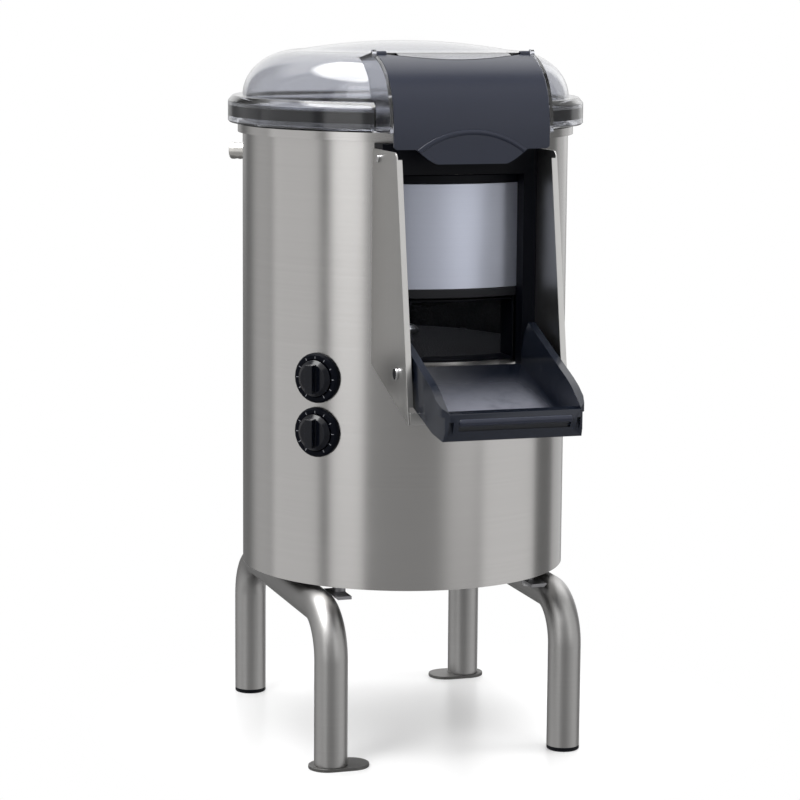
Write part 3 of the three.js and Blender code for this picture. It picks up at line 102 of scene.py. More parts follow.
# Flap and its hinge: pin line, boss, pin bore, the ears' length and the pins' length
HINGE_Y = sum(span("flap_hinge_pin_left", 1)) / 2
HINGE_Z = sum(span("flap_hinge_pin_left", 2)) / 2
BOSS_R, BORE_R, EAR, PIN = 0.0056, 0.0023, 0.026, 0.020
KNUCKLE_R, KNUCKLE = 0.004, 0.012
HOOD_BEND = HINGE_Y + 0.005
HOOD_ROOT, HOOD_ROOT_Z = HOOD_BEND + 0.055, SHOULDER_Z - 0.007
FLAP_HALF = HOOD_HALF - LID_WALL - GAP
FLAP_LOW, FLAP_WALL = HOOD_BASE - 0.003, 0.0035

# Tray's lip: its corners' length, the groove's lower and upper edge and depth, and the bead
LIP_CORNER = 0.0285
GROOVE_LOW, GROOVE_HIGH, GROOVE_DEPTH = 0.0118, 0.0160, 0.0100
BEAD_R, BEAD_IN, BEAD_UP = 0.0040, 0.0020, 0.0224

# Legs: wall of the tube, and the height at which it ends over a foot plate or a cap
TUBE_WALL = 0.002
OVER_PLATE, OVER_CAP = 0.0043, 0.0053

# Camera: its place, its tilt and roll in degrees, and its shift
CAMERA_X, CAMERA_Y, CAMERA_Z = -1.0466, -3.2212 + AXIS_Y, 0.931
CAMERA_TILT, CAMERA_ROLL, CAMERA_SHIFT = 8.74, 0.45, (-0.004, -0.00125)

SIDES = ("left", "right")
# Studio's soft boxes: turn from the camera, lift, width, height and blur in degrees, strength
SOFT_BOXES = (
    (-83.0, 0.0, 44.0, 120.0, 3.0, 0.60),
    (-120.0, 0.0, 30.0, 120.0, 10.0, 0.38),
    (-40.0, 0.0, 26.0, 120.0, 1.5, 0.50),
    (-40.0, 36.0, 26.0, 86.0, 4.0, 1.00),
    (17.0, 0.0, 84.0, 120.0, 3.0, 0.13),
    (17.0, 36.0, 84.0, 86.0, 4.0, 0.11),
    (43.0, 32.0, 26.0, 78.0, 7.0, 1.00),
    (84.0, 0.0, 50.0, 120.0, 3.0, 0.72),
    (150.0, 0.0, 30.0, 120.0, 3.0, 0.45),
    (180.0, 18.0, 56.0, 36.0, 4.0, 1.00),
    (180.0, 63.0, 130.0, 54.0, 5.0, 1.80),
    (-53.0, 82.0, 70.0, 9.0, 2.0, 9.00),
    (-30.0, 52.0, 60.0, 30.0, 4.0, 1.40),
    (60.0, 62.0, 90.0, 36.0, 4.0, 0.25),
)
# The window high on the left that only mirror reflections see, in the same terms
WINDOW = (-99.0, 66.0, 118.0, 27.0, 1.5, 12.0)
# Lamps: name, place, width and height, power; all of them face the body's middle
LAMPS = (
    ("light_left", (-2.4, -1.9, 2.2), (1.2, 2.2), 42),
    ("light_top", (0.2, -0.4, 3.2), (2.8, 2.8), 62),
    ("light_right", (2.6, -0.7, 1.8), (1.0, 2.0), 20),
)
LAMP_TARGET = (0, AXIS_Y, 0.45)
# Floor: half its side, its grey, and the circle out of which it fades to plain white
FLOOR_HALF, FLOOR_GREY = 14.0, 0.83
FADE_MIDDLE, FADE_START, FADE_END = (0.03, AXIS_Y - 0.02, 0.0), 0.11, 0.43


def length(name, description, default):
    """A length property in metres."""
    return bpy.props.FloatProperty(
        name=name, description=description, default=default, unit="LENGTH", subtype="DISTANCE"
    )


def amount(name, description, default, low=0.0, high=1.0):
    """A plain number property."""
    return bpy.props.FloatProperty(
        name=name, description=description, default=default, min=low, max=high
    )


def colour(name, of, default):
    """A colour property for a part or a finish, in scene-linear values."""
    return bpy.props.FloatVectorProperty(
        name=name, description=f"Colour of {of}", default=default, size=3, subtype="COLOR"
    )


class PeelerSizes(bpy.types.PropertyGroup):
    """Sizes of the visible pieces."""

    body_radius: length("Body radius", "Radius of the steel body", 0.2)
    sides: bpy.props.IntProperty(
        name="Sides", description="Facets round the body", default=144, min=24
    )
    tube_radius: length("Tube radius", "Radius of the leg tubes", 0.020)
    leg_x: length("Leg X", "Leg's distance to the side", 0.148)
    leg_y: length("Leg Y", "Leg's distance to the front and rear", 0.187)
    leg_bend: length("Leg bend", "Radius of the bend in a leg tube", 0.055)
    run_z: length("Run height", "Height of the tube under the body", 0.185)
    knob_angle: bpy.props.FloatProperty(
        name="Knob angle", description="Turn of the controls from the front",
        default=math.radians(-48.5), subtype="ANGLE",
    )


class PeelerLooks(bpy.types.PropertyGroup):
    """Colours and strengths of the finishes."""

    body_steel: colour("Body steel", "the brushed body", (0.50, 0.49, 0.48))
    leg_steel: colour("Leg steel", "the leg tubes", (0.36, 0.355, 0.35))
    foot_steel: colour("Foot steel", "the foot plates", (0.13, 0.128, 0.125))
    cheek_steel: colour("Cheek steel", "the outlet cheeks", (0.49, 0.485, 0.475))
    door_steel: colour("Door steel", "the outlet door", (0.59, 0.62, 0.725))
    inner_steel: colour("Inner steel", "the hidden sheet", (0.30, 0.30, 0.31))
    bright_steel: colour("Bright steel", "screws and shafts", (0.62, 0.62, 0.63))
    flap: colour("Flap", "the feed flap", (0.008, 0.0105, 0.021))
    tray: colour("Tray", "the discharge tray", (0.006, 0.008, 0.014))
    # Painted sheen: a pale colour laid on the front of the tray's floor in place of reflected light
    rubbed: colour("Painted tray sheen", "the painted sheen on the tray's floor", (0.165, 0.17, 0.20))
    black: colour("Black", "the black plastic", (0.0015, 0.002, 0.004))
    rubber: colour("Rubber", "the seals and feet", (0.006, 0.0065, 0.009))
    abrasive: colour("Abrasive", "the grit", (0.012, 0.0125, 0.016))
    marks: colour("Dial marks", "the marks round the dials", (0.18, 0.185, 0.20))
    aluminium: colour("Aluminium", "the castings", (0.42, 0.43, 0.44))
    motor: colour("Motor", "the motor's paint", (0.035, 0.045, 0.055))
    brass: colour("Inlet metal", "the plated water inlet", (0.45, 0.44, 0.42))
    clear: colour("Clear", "the lid's moulding", (0.62, 0.63, 0.67))
    grain: amount("Grain", "Depth of the brushed grain", 0.35)
    wear: amount("Wear", "Strength of worn and smudged places", 0.5)


class PeelerStudio(bpy.types.PropertyGroup):
    """Camera and light."""

    lens: amount("Lens", "Focal length in millimetres", 123.4, 10, 500)
    key: amount("Lamps", "Strength of the lamps", 1.0, 0, 100)
    world: amount("Surroundings", "Strength of the dim surroundings", 0.2, 0, 10)


def sizes():
    """The scene's sizes."""
    return bpy.context.scene.peeler_sizes


def looks():
    """The colours and strengths of the scene's finishes."""
    return bpy.context.scene.peeler_looks


def read(items, what, width=3, kind=float):
    """One property of many vertices, faces or corners, in rows of `width` numbers."""
    values = np.empty(len(items) * width, kind)
    items.foreach_get(what, values)
    return values.reshape(-1, width) if width > 1 else values


def read_mesh(mesh):
    """The points and faces of a mesh."""
    return read(mesh.vertices, "co"), [list(face.vertices) for face in mesh.polygons]


def node_points(node):
    """The points of a CAD node."""
    return read(frame["nodes"][node].data.vertices, "co")


def volume_of(mesh):
    """Signed volume: a third of the sum of each face's area times its distance along its normal."""
    faces = mesh.polygons
    height = np.sum(read(faces, "normal") * read(faces, "center"), axis=1)
    return float(np.sum(read(faces, "area", 1) * height)) / 3


def solid_mesh(name, points, faces):
    """A mesh of points and faces, turned the right way out where its volume is negative."""
    mesh = bpy.data.meshes.new(name)
    mesh.from_pydata(np.asarray(points, float).reshape(-1, 3).tolist(), [], faces)
    mesh.update()
    if volume_of(mesh) < 0:
        mesh.flip_normals()
    return mesh


def placed(name, data):
    """A new object in the scene."""
    item = bpy.data.objects.new(name, data)
    bpy.context.scene.collection.objects.link(item)
    return item


def wrap_uv(mesh, radius):
    """A map for finishes that run round the machine: u is the height, v the way round the axis.

    Each face measures its corners' turns from its own middle, so no face straddles the seam.
    """
    place = read(mesh.vertices, "co")[read(mesh.loops, "vertex_index", 1, int)]
    corners = read(mesh.polygons, "loop_total", 1, int)
    middle = np.repeat(read(mesh.polygons, "center"), corners, axis=0)
    turn = np.arctan2(place[:, 1] - AXIS_Y, place[:, 0])
    base = np.arctan2(middle[:, 1] - AXIS_Y, middle[:, 0])
    turn = base + (turn - base + np.pi) % (2 * np.pi) - np.pi
    layer = mesh.uv_layers.new(name="round")
    layer.data.foreach_set("uv", np.stack([place[:, 2], turn * radius], 1).ravel())


def piece(name, solid, look, body, replaces=(), edge=None, angle=35.0, slot=None):
    """Makes a piece of a solid's points and faces, with a finish and softened edges, and lets it
    ride on its body. The slot argument is not used."""
    slot = slot or look
    mesh = solid_mesh(name, *solid)
    mesh.validate()
    mesh.shade_smooth()
    mesh.set_sharp_from_angle(angle=math.radians(angle))
    item = placed(name, mesh)
    mesh.materials.append(finishes()[look])
    if edge:
        bevel = item.modifiers.new("soft edges", "BEVEL")
        bevel.width = edge
        bevel.segments = 2
        bevel.limit_method = "ANGLE"
        bevel.angle_limit = math.radians(angle)
        bevel.harden_normals = True
    wrap_uv(mesh, sizes().body_radius)
    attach(item, body)
    if replaces:
        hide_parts(*replaces)
    return item


def combined(start, joins, cuts):
    """One closed solid: the starting solid with others joined on, and then others cut away."""
    base = placed("step", solid_mesh("step", *start))
    helpers = [base]
    for operation, solids in (("UNION", joins), ("DIFFERENCE", cuts)):
        for solid in solids:
            step = base.modifiers.new(operation.lower(), "BOOLEAN")
            step.operation = operation
            step.solver = "MANIFOLD"
            step.object = placed("step", solid_mesh("step", *solid))
            helpers.append(step.object)
    made = base.evaluated_get(bpy.context.evaluated_depsgraph_get()).to_mesh()
    points, faces = read_mesh(made)
    for item in helpers:
        mesh = item.data
        bpy.data.objects.remove(item)
        bpy.data.meshes.remove(mesh)
    return points, faces


def softened(node, look, body, edge=0.0005, angle=28.0, cuts=(), slot=None):
    """A smooth copy of a CAD piece: doubles merged, level facets joined, edges rounded.

    Vertices nearer than a hundredth of a millimetre become one, faces that meet within a degree
    become one face, edges sharper than `angle` degrees get a small round, and the solids in `cuts`
    are taken away first.
    """
    source = frame["nodes"][node]
    mesh = bpy.data.meshes.new(f"{node}_soft")
    work = bmesh.new()
    work.from_mesh(source.data)
    work.transform(source.matrix_world)
    bmesh.ops.remove_doubles(work, verts=work.verts, dist=1e-5)
    bmesh.ops.dissolve_limit(work, angle_limit=math.radians(1), verts=work.verts, edges=work.edges)
    bmesh.ops.recalc_face_normals(work, faces=work.faces)
    work.to_mesh(mesh)
    work.free()
    solid = read_mesh(mesh)
    bpy.data.meshes.remove(mesh)
    if cuts:
        solid = combined(solid, (), cuts)
    return piece(f"{node}_soft", solid, look, body, [node], edge, angle, slot)


def strip(*corners):
    """Faces whose corners are the same places of several rows of point numbers."""
    return np.stack(corners, 1)


def quads(rows, columns, wrap_rows=False, wrap_columns=False):
    """Faces of a grid of rows by columns points, joined round where it wraps."""
    i = np.arange(rows if wrap_rows else rows - 1)
    j = np.arange(columns if wrap_columns else columns - 1)
    a, b = np.meshgrid(i, j, indexing="ij")
    a, b = a.ravel(), b.ravel()
    a2, b2 = (a + 1) % rows, (b + 1) % columns
    return strip(a * columns + b, a2 * columns + b, a2 * columns + b2, a * columns + b2)


def turned_grid(profile, sides, centre):
    """Each point of a (radius, height) profile at equal turns about an upright line."""
    radius, height = np.asarray(profile, float).T
    turn = np.linspace(0, 2 * np.pi, sides, endpoint=False)
    x = centre[0] + np.outer(np.cos(turn), radius)
    y = centre[1] + np.outer(np.sin(turn), radius)
    return np.stack([x, y, np.broadcast_to(height, x.shape)], 2).reshape(-1, 3)


def turned(profile, sides):
    """A closed ring of (radius, height) points turned about the machine's axis."""
    return turned_grid(profile, sides, (0.0, AXIS_Y)), quads(sides, len(profile), True, True)


def turned_cap(profile, sides, centre=(0.0, AXIS_Y)):
    """A (radius, height) profile from the axis out and back to it, turned into a closed solid.

    The first and last profile points lie on the axis and become single points.
    """
    profile = np.asarray(profile, float)
    n = len(profile) - 2
    points = np.vstack([turned_grid(profile[1:-1], sides, centre),
                        [(*centre, profile[0, 1]), (*centre, profile[-1, 1])]])
    step = np.arange(sides)
    after = (step + 1) % sides
    first, last = np.full(sides, sides * n), np.full(sides, sides * n + 1)
    ends = np.vstack([strip(first, after * n, step * n),
                      strip(last, step * n + n - 1, after * n + n - 1)])
    return points, quads(sides, n, True, False).tolist() + ends.tolist()


def prism(outline, low, high, axis):
    """A flat outline carried straight along X (axis 0, outline in YZ) or Z (axis 2, in XY)."""
    outline = np.asarray(outline, float)
    n = len(outline)
    flat = np.vstack([outline, outline])
    along = np.concatenate([np.full(n, low), np.full(n, high)])
    columns = [flat[:, 0], flat[:, 1], along]
    columns = [along, flat[:, 0], flat[:, 1]] if axis == 0 else columns
    i = np.arange(n)
    j = (i + 1) % n
    faces = [list(range(n))[::-1], list(range(n, 2 * n))]
    return np.stack(columns, 1), faces + strip(i, j, j + n, i + n).tolist()


def box(low, high):
    """A block between two corners."""
    outline = [(low[0], low[1]), (high[0], low[1]), (high[0], high[1]), (low[0], high[1])]
    return prism(outline, low[2], high[2], 2)


def sheet(outer, inner):
    """Two equal grids of points, a front and a back, joined round their edges into a wall."""
    rows, columns = outer.shape[:2]
    off = rows * columns
    front = quads(rows, columns)
    top = np.arange(columns)
    bottom = (rows - 1) * columns + top
    left = np.arange(rows) * columns
    right = left + columns - 1
    loop = np.concatenate([top, right[1:], bottom[::-1][1:], left[::-1][1:-1]])
    after = np.roll(loop, -1)
    rim = strip(loop, after, after + off, loop + off)
    points = np.vstack([outer.reshape(-1, 3), inner.reshape(-1, 3)])
    return points, np.vstack([front, front[:, ::-1] + off, rim]).tolist()


def arc(cx, cy, radius, start, end, steps):
    """Points of an arc, ends included, angles in degrees."""
    a = np.radians(np.linspace(start, end, steps + 1))
    return np.stack([cx + radius * np.cos(a), cy + radius * np.sin(a)], 1)


def sector(profile, half):
    """A closed (radius, height) profile carried round the axis the long way, from x = -half to
    x = half: at radius r it starts and stops asin(half / r) to each side of the front."""
    r, z = np.asarray(profile, float).T
    rows, n = sizes().sides, len(r)
    stop = np.arcsin(np.clip(half / r, -1, 1))
    turn = -np.pi / 2 + stop + np.linspace(0, 1, rows)[:, None] * (2 * np.pi - 2 * stop)
    height = np.broadcast_to(z, turn.shape)
    points = np.stack([r * np.cos(turn), r * np.sin(turn) + AXIS_Y, height], 2)
    faces = quads(rows, n, False, True).tolist()
    last = (rows - 1) * n
    return points.reshape(-1, 3), [*faces, list(range(n)), list(range(last, last + n))[::-1]]


def rod(radius, low, high, y=HINGE_Y, z=HINGE_Z):
    """A round rod along X, on the hinge line unless placed: a circle carried from low to high."""
    sides = 32
    return prism(arc(y, z, radius, 0, 360 * (1 - 1 / sides), sides - 1), low, high, 0)


def add(tree, kind, inputs=(), **settings):
    """A new shader node with its settings; each input is a value or an output to link from."""
    node = tree.nodes.new(kind)
    for name, value in settings.items():
        setattr(node, name, value)
    for key, value in dict(inputs).items():
        if isinstance(value, bpy.types.NodeSocket):
            tree.links.new(value, node.inputs[key])
        else:
            node.inputs[key].default_value = value
    return node


def math_node(tree, operation, *values):
    """A math node on values that are sockets or numbers."""
    return add(tree, "ShaderNodeMath", enumerate(values), operation=operation).outputs[0]


def times(tree, a, b):
    """The product of two values."""
    return math_node(tree, "MULTIPLY", a, b)


def blend(tree, first, second, share):
    """A share of the first value and the rest of the second."""
    return math_node(tree, "ADD", times(tree, first, share), times(tree, second, 1 - share))


def smooth_step(tree, value, low, high):
    """Rises smoothly from 0 to 1 between two limits, or falls where low is above high."""
    start, end = (0.0, 1.0) if low < high else (1.0, 0.0)
    return add(tree, "ShaderNodeMapRange", {
        "Value": value, "From Min": min(low, high), "From Max": max(low, high),
        "To Min": start, "To Max": end,
    }, interpolation_type="SMOOTHSTEP").outputs["Result"]


def stretched_noise(tree, scale, detail, roughness=0.6):
    """Noise on Object coordinates stretched by a scale per axis."""
    where = add(tree, "ShaderNodeTexCoord")
    mapping = add(tree, "ShaderNodeMapping", {"Vector": where.outputs["Object"], "Scale": scale})
    return add(tree, "ShaderNodeTexNoise", {
        "Vector": mapping.outputs["Vector"], "Scale": 1.0, "Detail": detail,
        "Roughness": roughness,
    }).outputs["Fac"]


def grain_round(tree):
    """Fine lines that run round the upright axis: noise that changes with height only."""
    return blend(tree, stretched_noise(tree, (2.0, 2.0, 2600.0), 3.0),
                 stretched_noise(tree, (1.5, 1.5, 320.0), 4.0), 0.65)


def grain_up(tree):
    """Fine lines that run upright: noise that changes across X and Y only."""
    return stretched_noise(tree, (2200.0, 2200.0, 3.0), 3.0)


def smudges(tree):
    """Large soft patches where the finish is handled or dulled."""
    return blend(tree, stretched_noise(tree, (9.0, 9.0, 7.0), 5.0, 0.65),
                 stretched_noise(tree, (60.0, 60.0, 60.0), 3.0, 0.5), 0.75)


def pebble(tree):
    """Fine moulded texture of plastic and rubber."""
    return stretched_noise(tree, (900.0, 900.0, 900.0), 2.0, 0.5)


def grit(tree):
    """Coarse abrasive grains from cell distances."""
    where = add(tree, "ShaderNodeTexCoord")
    return add(tree, "ShaderNodeTexVoronoi", {
        "Vector": where.outputs["Object"], "Scale": 420.0,
    }).outputs["Distance"]


ROUND, UPRIGHT, PATCHES = "grain round the axis", "upright grain", "smudges"
PEBBLE, GRIT = "moulded pebble", "abrasive grit"
EFFECTS = {
    ROUND: grain_round, UPRIGHT: grain_up, PATCHES: smudges, PEBBLE: pebble, GRIT: grit,
}


def effect(tree, name, strength=1.0):
    """A shared effect placed in a material with its own strength; its node group is built once,
    takes in an Amount and puts out a Value."""
    made = bpy.data.node_groups.get(name)
    if not made:
        made = bpy.data.node_groups.new(name, "ShaderNodeTree")
        scale = made.interface.new_socket("Amount", in_out="INPUT", socket_type="NodeSocketFloat")
        scale.default_value = 1.0
        made.interface.new_socket("Value", in_out="OUTPUT", socket_type="NodeSocketFloat")
        start, end = made.nodes.new("NodeGroupInput"), made.nodes.new("NodeGroupOutput")
        value = times(made, EFFECTS[name](made), start.outputs["Amount"])
        made.links.new(value, end.inputs["Value"])
    node = add(tree, "ShaderNodeGroup", node_tree=made)
    node.inputs["Amount"].default_value = strength
    return node.outputs["Value"]


# Each finish: key, name, colour, roughness, metallic, relief, the relief's depth, mottle, worn
# spread of the roughness, and where they differ from the plain ones: specular, anisotropy, clear
FINISHES = (
    ("body_steel", "brushed_body_steel", "body_steel", 0.24, 1, ROUND, 0.12, 0.1, 0.05, 0.5, 0.6),
    ("leg_steel", "satin_tube_steel", "leg_steel", 0.4, 1, ROUND, 0.1, 0.08, 0.06),
    ("foot_steel", "dull_foot_steel", "foot_steel", 0.55, 1, PATCHES, 0.1, 0.15, 0.06),
    ("cheek_steel", "brushed_cheek_steel", "cheek_steel", 0.34, 1, UPRIGHT, 0.14, 0.08, 0.05),
    ("door_steel", "bright_door_steel", "door_steel", 0.42, 0.77, ROUND, 0.1, 0.06, 0.04, 0.5, 0.5),
    ("inner_steel", "plain_inner_steel", "inner_steel", 0.42, 1, PATCHES, 0.1, 0.15, 0.08),
    ("bright_steel", "polished_fastener_steel", "bright_steel", 0.18, 1, PATCHES, 0, 0.08, 0.05),
    ("tray_plastic", "dark_tray_plastic", "tray", 0.2, 0, PEBBLE, 0.03, 0.1, 0.06, 0.36),
    ("flap_plastic", "slate_flap_plastic", "flap", 0.34, 0, PEBBLE, 0.04, 0.08, 0.05, 0.4),
    ("black_plastic", "black_moulding", "black", 0.45, 0, PEBBLE, 0.06, 0.15, 0.06, 0.12),
    ("knob_plastic", "glossy_knob_plastic", "black", 0.14, 0, PEBBLE, 0.01, 0.1, 0.05, 0.3),
    ("dial_black", "black_dial_moulding", "black", 0.5, 0, PEBBLE, 0.06, 0.15, 0.05, 0.05),
    ("dial_white", "printed_dial_marks", "marks", 0.5, 0, PEBBLE, 0, 0.05, 0),
    ("lid_clear", "clear_lid_moulding", "clear", 0.06, 0, PATCHES, 0, 0.03, 0.02, 0.5, 0, 1),
    ("rubber", "black_rubber", "rubber", 0.7, 0, PEBBLE, 0.1, 0.2, 0.08),
    ("abrasive", "abrasive_coat", "abrasive", 0.85, 0, GRIT, 1, 0.6, 0),
    ("cast_aluminium", "cast_aluminium", "aluminium", 0.45, 1, PEBBLE, 0.2, 0.1, 0.08),
    ("motor_paint", "motor_paint", "motor", 0.45, 0, PEBBLE, 0.15, 0.1, 0.06),
    ("brass", "plated_inlet_metal", "brass", 0.28, 1, PATCHES, 0, 0.1, 0.06),
)


def finish(name, base, roughness, metallic, relief, depth, mottle, spread, specular=0.5,
           anisotropic=0.0, clear=0.0):
    """A Principled finish: smudges spread its roughness as far as it is worn, and an effect
    mottles its colour and gives its relief. A brushed relief is scaled by the grain setting."""
    made = bpy.data.materials.get(name)
    if made:
        return made
    made = bpy.data.materials.new(name)
    made.use_nodes = True
    tree = made.node_tree
    shader = tree.nodes["Principled BSDF"]
    for label, value in (("Metallic", metallic), ("Specular IOR Level", specular),
                         ("Anisotropic", anisotropic), ("Transmission Weight", clear)):
        shader.inputs[label].default_value = value
    worn = spread * looks().wear
    if relief in (ROUND, UPRIGHT):
        depth *= looks().grain
    rough = add(tree, "ShaderNodeMapRange", {
        "Value": effect(tree, PATCHES), "From Min": 0.3, "From Max": 0.7,
        "To Min": roughness - worn, "To Max": roughness + worn,
    })
    tree.links.new(rough.outputs["Result"], shader.inputs["Roughness"])
    mix = add(tree, "ShaderNodeMix", {
        "Factor": effect(tree, relief), "A": (*[c * (1 - mottle) for c in base], 1.0),
        "B": (*[min(1.0, c * (1 + mottle)) for c in base], 1.0),
    }, data_type="RGBA")
    tree.links.new(mix.outputs["Result"], shader.inputs["Base Color"])
    if depth:
        bump = add(tree, "ShaderNodeBump", {
            "Strength": depth, "Distance": 0.0004, "Height": effect(tree, relief),
        })
        tree.links.new(bump.outputs["Normal"], shader.inputs["Normal"])
    if anisotropic:
        tangent = add(tree, "ShaderNodeTangent", direction_type="UV_MAP", uv_map="round")
        tree.links.new(tangent.outputs["Tangent"], shader.inputs["Tangent"])
    return made


def painted_floor_sheen(made, pale):
    """Painted sheen: pales the tray's floor towards its front, where it stands in for a reflection
    of the light above.

    The mask is the product of smooth steps: level faces only, between the side walls, from the
    pivot to the lip and behind the lip.
    """
    tree = made.node_tree
    if tree.nodes.get("rubbed"):
        return
    base = tree.nodes["Principled BSDF"].inputs["Base Color"]
    where = add(tree, "ShaderNodeTexCoord")
    place = add(tree, "ShaderNodeSeparateXYZ", {"Vector": where.outputs["Object"]})
    facing = add(tree, "ShaderNodeSeparateXYZ", {"Vector": where.outputs["Normal"]})
    low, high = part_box("discharge_tray")
    lip_back, inside = low[1] + 0.024, high[0] - 0.016
    pivot, sheen_from = -0.13, -0.235
    mask = smooth_step(tree, facing.outputs["Z"], 0.8, 0.95)
    for value, start, stop in (
        (math_node(tree, "ABSOLUTE", place.outputs["X"]), inside, inside - 0.03),
        (place.outputs["Y"], pivot, sheen_from),
        (place.outputs["Y"], lip_back - 0.001, lip_back + 0.004),
        (effect(tree, PATCHES), 0.15, 0.55),
    ):
        mask = times(tree, mask, smooth_step(tree, value, start, stop))
    # The pale colour mixed in here is painted sheen, not wear
    mix = add(tree, "ShaderNodeMix", {
        "Factor": mask, "A": base.links[0].from_socket, "B": (*pale, 1.0),
    }, name="rubbed", data_type="RGBA")
    tree.links.new(mix.outputs["Result"], base)


def finishes():
    """Every finish by its key, which is the name of the slot that the CAD nodes use."""
    c = looks()
    made = {key: finish(name, getattr(c, base), *row) for key, name, base, *row in FINISHES}
    # Painted sheen on the front of the tray's floor
    painted_floor_sheen(made["tray_plastic"], c.rubbed)
    return made


def clothe_cad_nodes():
    """Gives every CAD node the finish of its slot."""
    made = finishes()
    slots = {row["node"]: row["material_slot"] for row in frame["record"]["subparts"]}
    for name, node in frame["nodes"].items():
        node.data.materials.clear()
        node.data.materials.append(made[slots[name]])


def body_wall():
    """A cylinder wall on a grid of angle by height, with the cells of a front opening left out.

    Grid lines stand at the opening's edges: its half-width w gives the angles asin(w / r) to each
    side of the front. The two skins are joined round the opening and at the top. At the bottom
    they meet along a flat lip that is folded inwards.
    """
    outer, across, front = sizes().body_radius, 24, -np.pi / 2
    inner = outer - SHEET
    edge_turn = math.asin(OUTLET_HALF / outer)
    rest = max(sizes().sides - across, across)
    around = np.concatenate([
        np.linspace(front - edge_turn, front + edge_turn, across + 1)[:-1],
        np.linspace(front + edge_turn, front + 2 * np.pi - edge_turn, rest + 1)[:-1],
    ])
    up = np.array([BODY_BOTTOM, (BODY_BOTTOM + SILL_EDGE) / 2, SILL_EDGE, OUTLET_TOP,
                   (OUTLET_TOP + BODY_TOP) / 2, BODY_TOP])
    n, m = len(around), len(up)

    def skin(radius, height):
        x, y = np.cos(around) * radius, np.sin(around) * radius + AXIS_Y
        grid = [np.repeat(x, len(height)), np.repeat(y, len(height)), np.tile(height, n)]
        return np.stack(grid, 1)

    faces = quads(n, m, True, False)
    column, row = faces[:, 0] // m, faces[:, 0] % m
    kept = faces[~((column < across) & (row == 2))]
    off = n * m
    ring = np.arange(n) * m
    after = np.roll(ring, -1)
    top, top_after = ring + m - 1, after + m - 1
    sill = np.arange(across) * m + 2
    side = across * m + 2
    points = [skin(outer, up), skin(inner, up)]
    points[1][ring, 2] += SHEET
    tip = skin(inner - BODY_LIP, [BODY_BOTTOM])
    points += [tip, tip + [0, 0, SHEET]]
    low = 2 * off + np.arange(n)
    low_after = np.roll(low, -1)
    return np.vstack(points), np.vstack([
        kept, kept[:, ::-1] + off,
        strip(top, top_after, top_after + off, top + off),
        strip(sill, sill + m, sill + m + off, sill + off),
        strip(sill + m + 1, sill + 1, sill + 1 + off, sill + m + 1 + off),
        [[3, 2, 2 + off, 3 + off], [side, side + 1, side + 1 + off, side + off]],
        strip(ring, low, low_after, after),
        strip(low, low + n, low_after + n, low_after),
        strip(low + n, ring + off, after + off, low_after + n),
    ]).tolist()


def rim_ring():
    """The top rim: a flat ring with a skirt over the body's wall, turned about the axis."""
    low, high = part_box("top_rim")
    under, skirt = high[2] - RIM_SHEET, sizes().body_radius + GAP
    return turned([
        (RIM_INNER, high[2]), (RIM_INNER, under), (skirt, under), (skirt, low[2]),
        (high[0], low[2]), (high[0], high[2] - RIM_ROUND), (high[0] - RIM_ROUND, high[2]),
    ], sizes().sides)


def curved_bar(node, inner):
    """A bar that follows the body's curve: two arcs about the axis, from the bar's CAD box."""
    low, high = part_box(node)
    half, outer = high[0], AXIS_Y - low[1]
    far, near = math.degrees(math.asin(half / outer)), math.degrees(math.asin(half / inner))
    outline = np.vstack([arc(0, AXIS_Y, outer, -90 - far, -90 + far, 32),
                         arc(0, AXIS_Y, inner, -90 + near, -90 - near, 32)])
    return prism(outline, low[2], high[2], 2)


def hood_curve(a, offset):
    """(Y, Z) points of the hood's front at the angles a: a superellipse, `offset` inside."""
    y = HOOD_FRONT + HOOD_DEPTH - (HOOD_DEPTH - offset) * np.cos(a) ** (2 / HOOD_POWER)
    z = HOOD_BASE + (HOOD_TOP - HOOD_BASE - offset) * np.sin(a) ** (2 / HOOD_POWER)
    return y, z


def dome_profile(offset):
    """(radius, height) points of the dome: a quarter ellipse, then a low round crown.

    The crown is an arc whose radius is (s s + c c) / 2 c for a shoulder radius s and a rise c.
    """
    quarter = np.radians(np.linspace(0, 90, 25))
    side = np.stack([SHOULDER_R + (DOME_R - SHOULDER_R - offset) * np.cos(quarter),
                     FLANGE_TOP + (SHOULDER_Z - FLANGE_TOP - offset) * np.sin(quarter)], 1)
    radius = (SHOULDER_R ** 2 + CROWN_RISE ** 2) / (2 * CROWN_RISE)
    turn = math.asin(SHOULDER_R / radius) * np.linspace(1, 0, 9)[1:]
    crown = np.stack([(radius - offset) * np.sin(turn),
                      SHOULDER_Z + CROWN_RISE - radius + (radius - offset) * np.cos(turn)], 1)
    return np.vstack([side, crown])


def hood_block(offset, half, low):
    """The hood's block: the front curve above a level, carried across the lid.

    Behind the hinge the top runs straight down into the dome.
    """
    y, z = hood_curve(np.linspace(0, np.pi / 2, 60), offset)
    kept = (z > low) & (y < HOOD_BEND)
    outline = [(HOOD_FRONT + offset, low), *zip(y[kept], z[kept]),
               (HOOD_ROOT, HOOD_ROOT_Z - offset), (HOOD_ROOT, low)]
    return prism(outline, -half, half, 0)


def flange_edge():
    """(radius, height) points of the flange's top edge: a slope between two small rounds."""
    slope = math.degrees(math.atan2(0.005, 0.007))
    lower, upper = 0.003, 0.002
    return np.vstack([
        arc(FLANGE_R - lower, FLANGE_TOP - 0.0078, lower, 0, slope, 4),
        arc(FLANGE_R - 0.0068, FLANGE_TOP - upper, upper, slope, 90, 4),
    ])


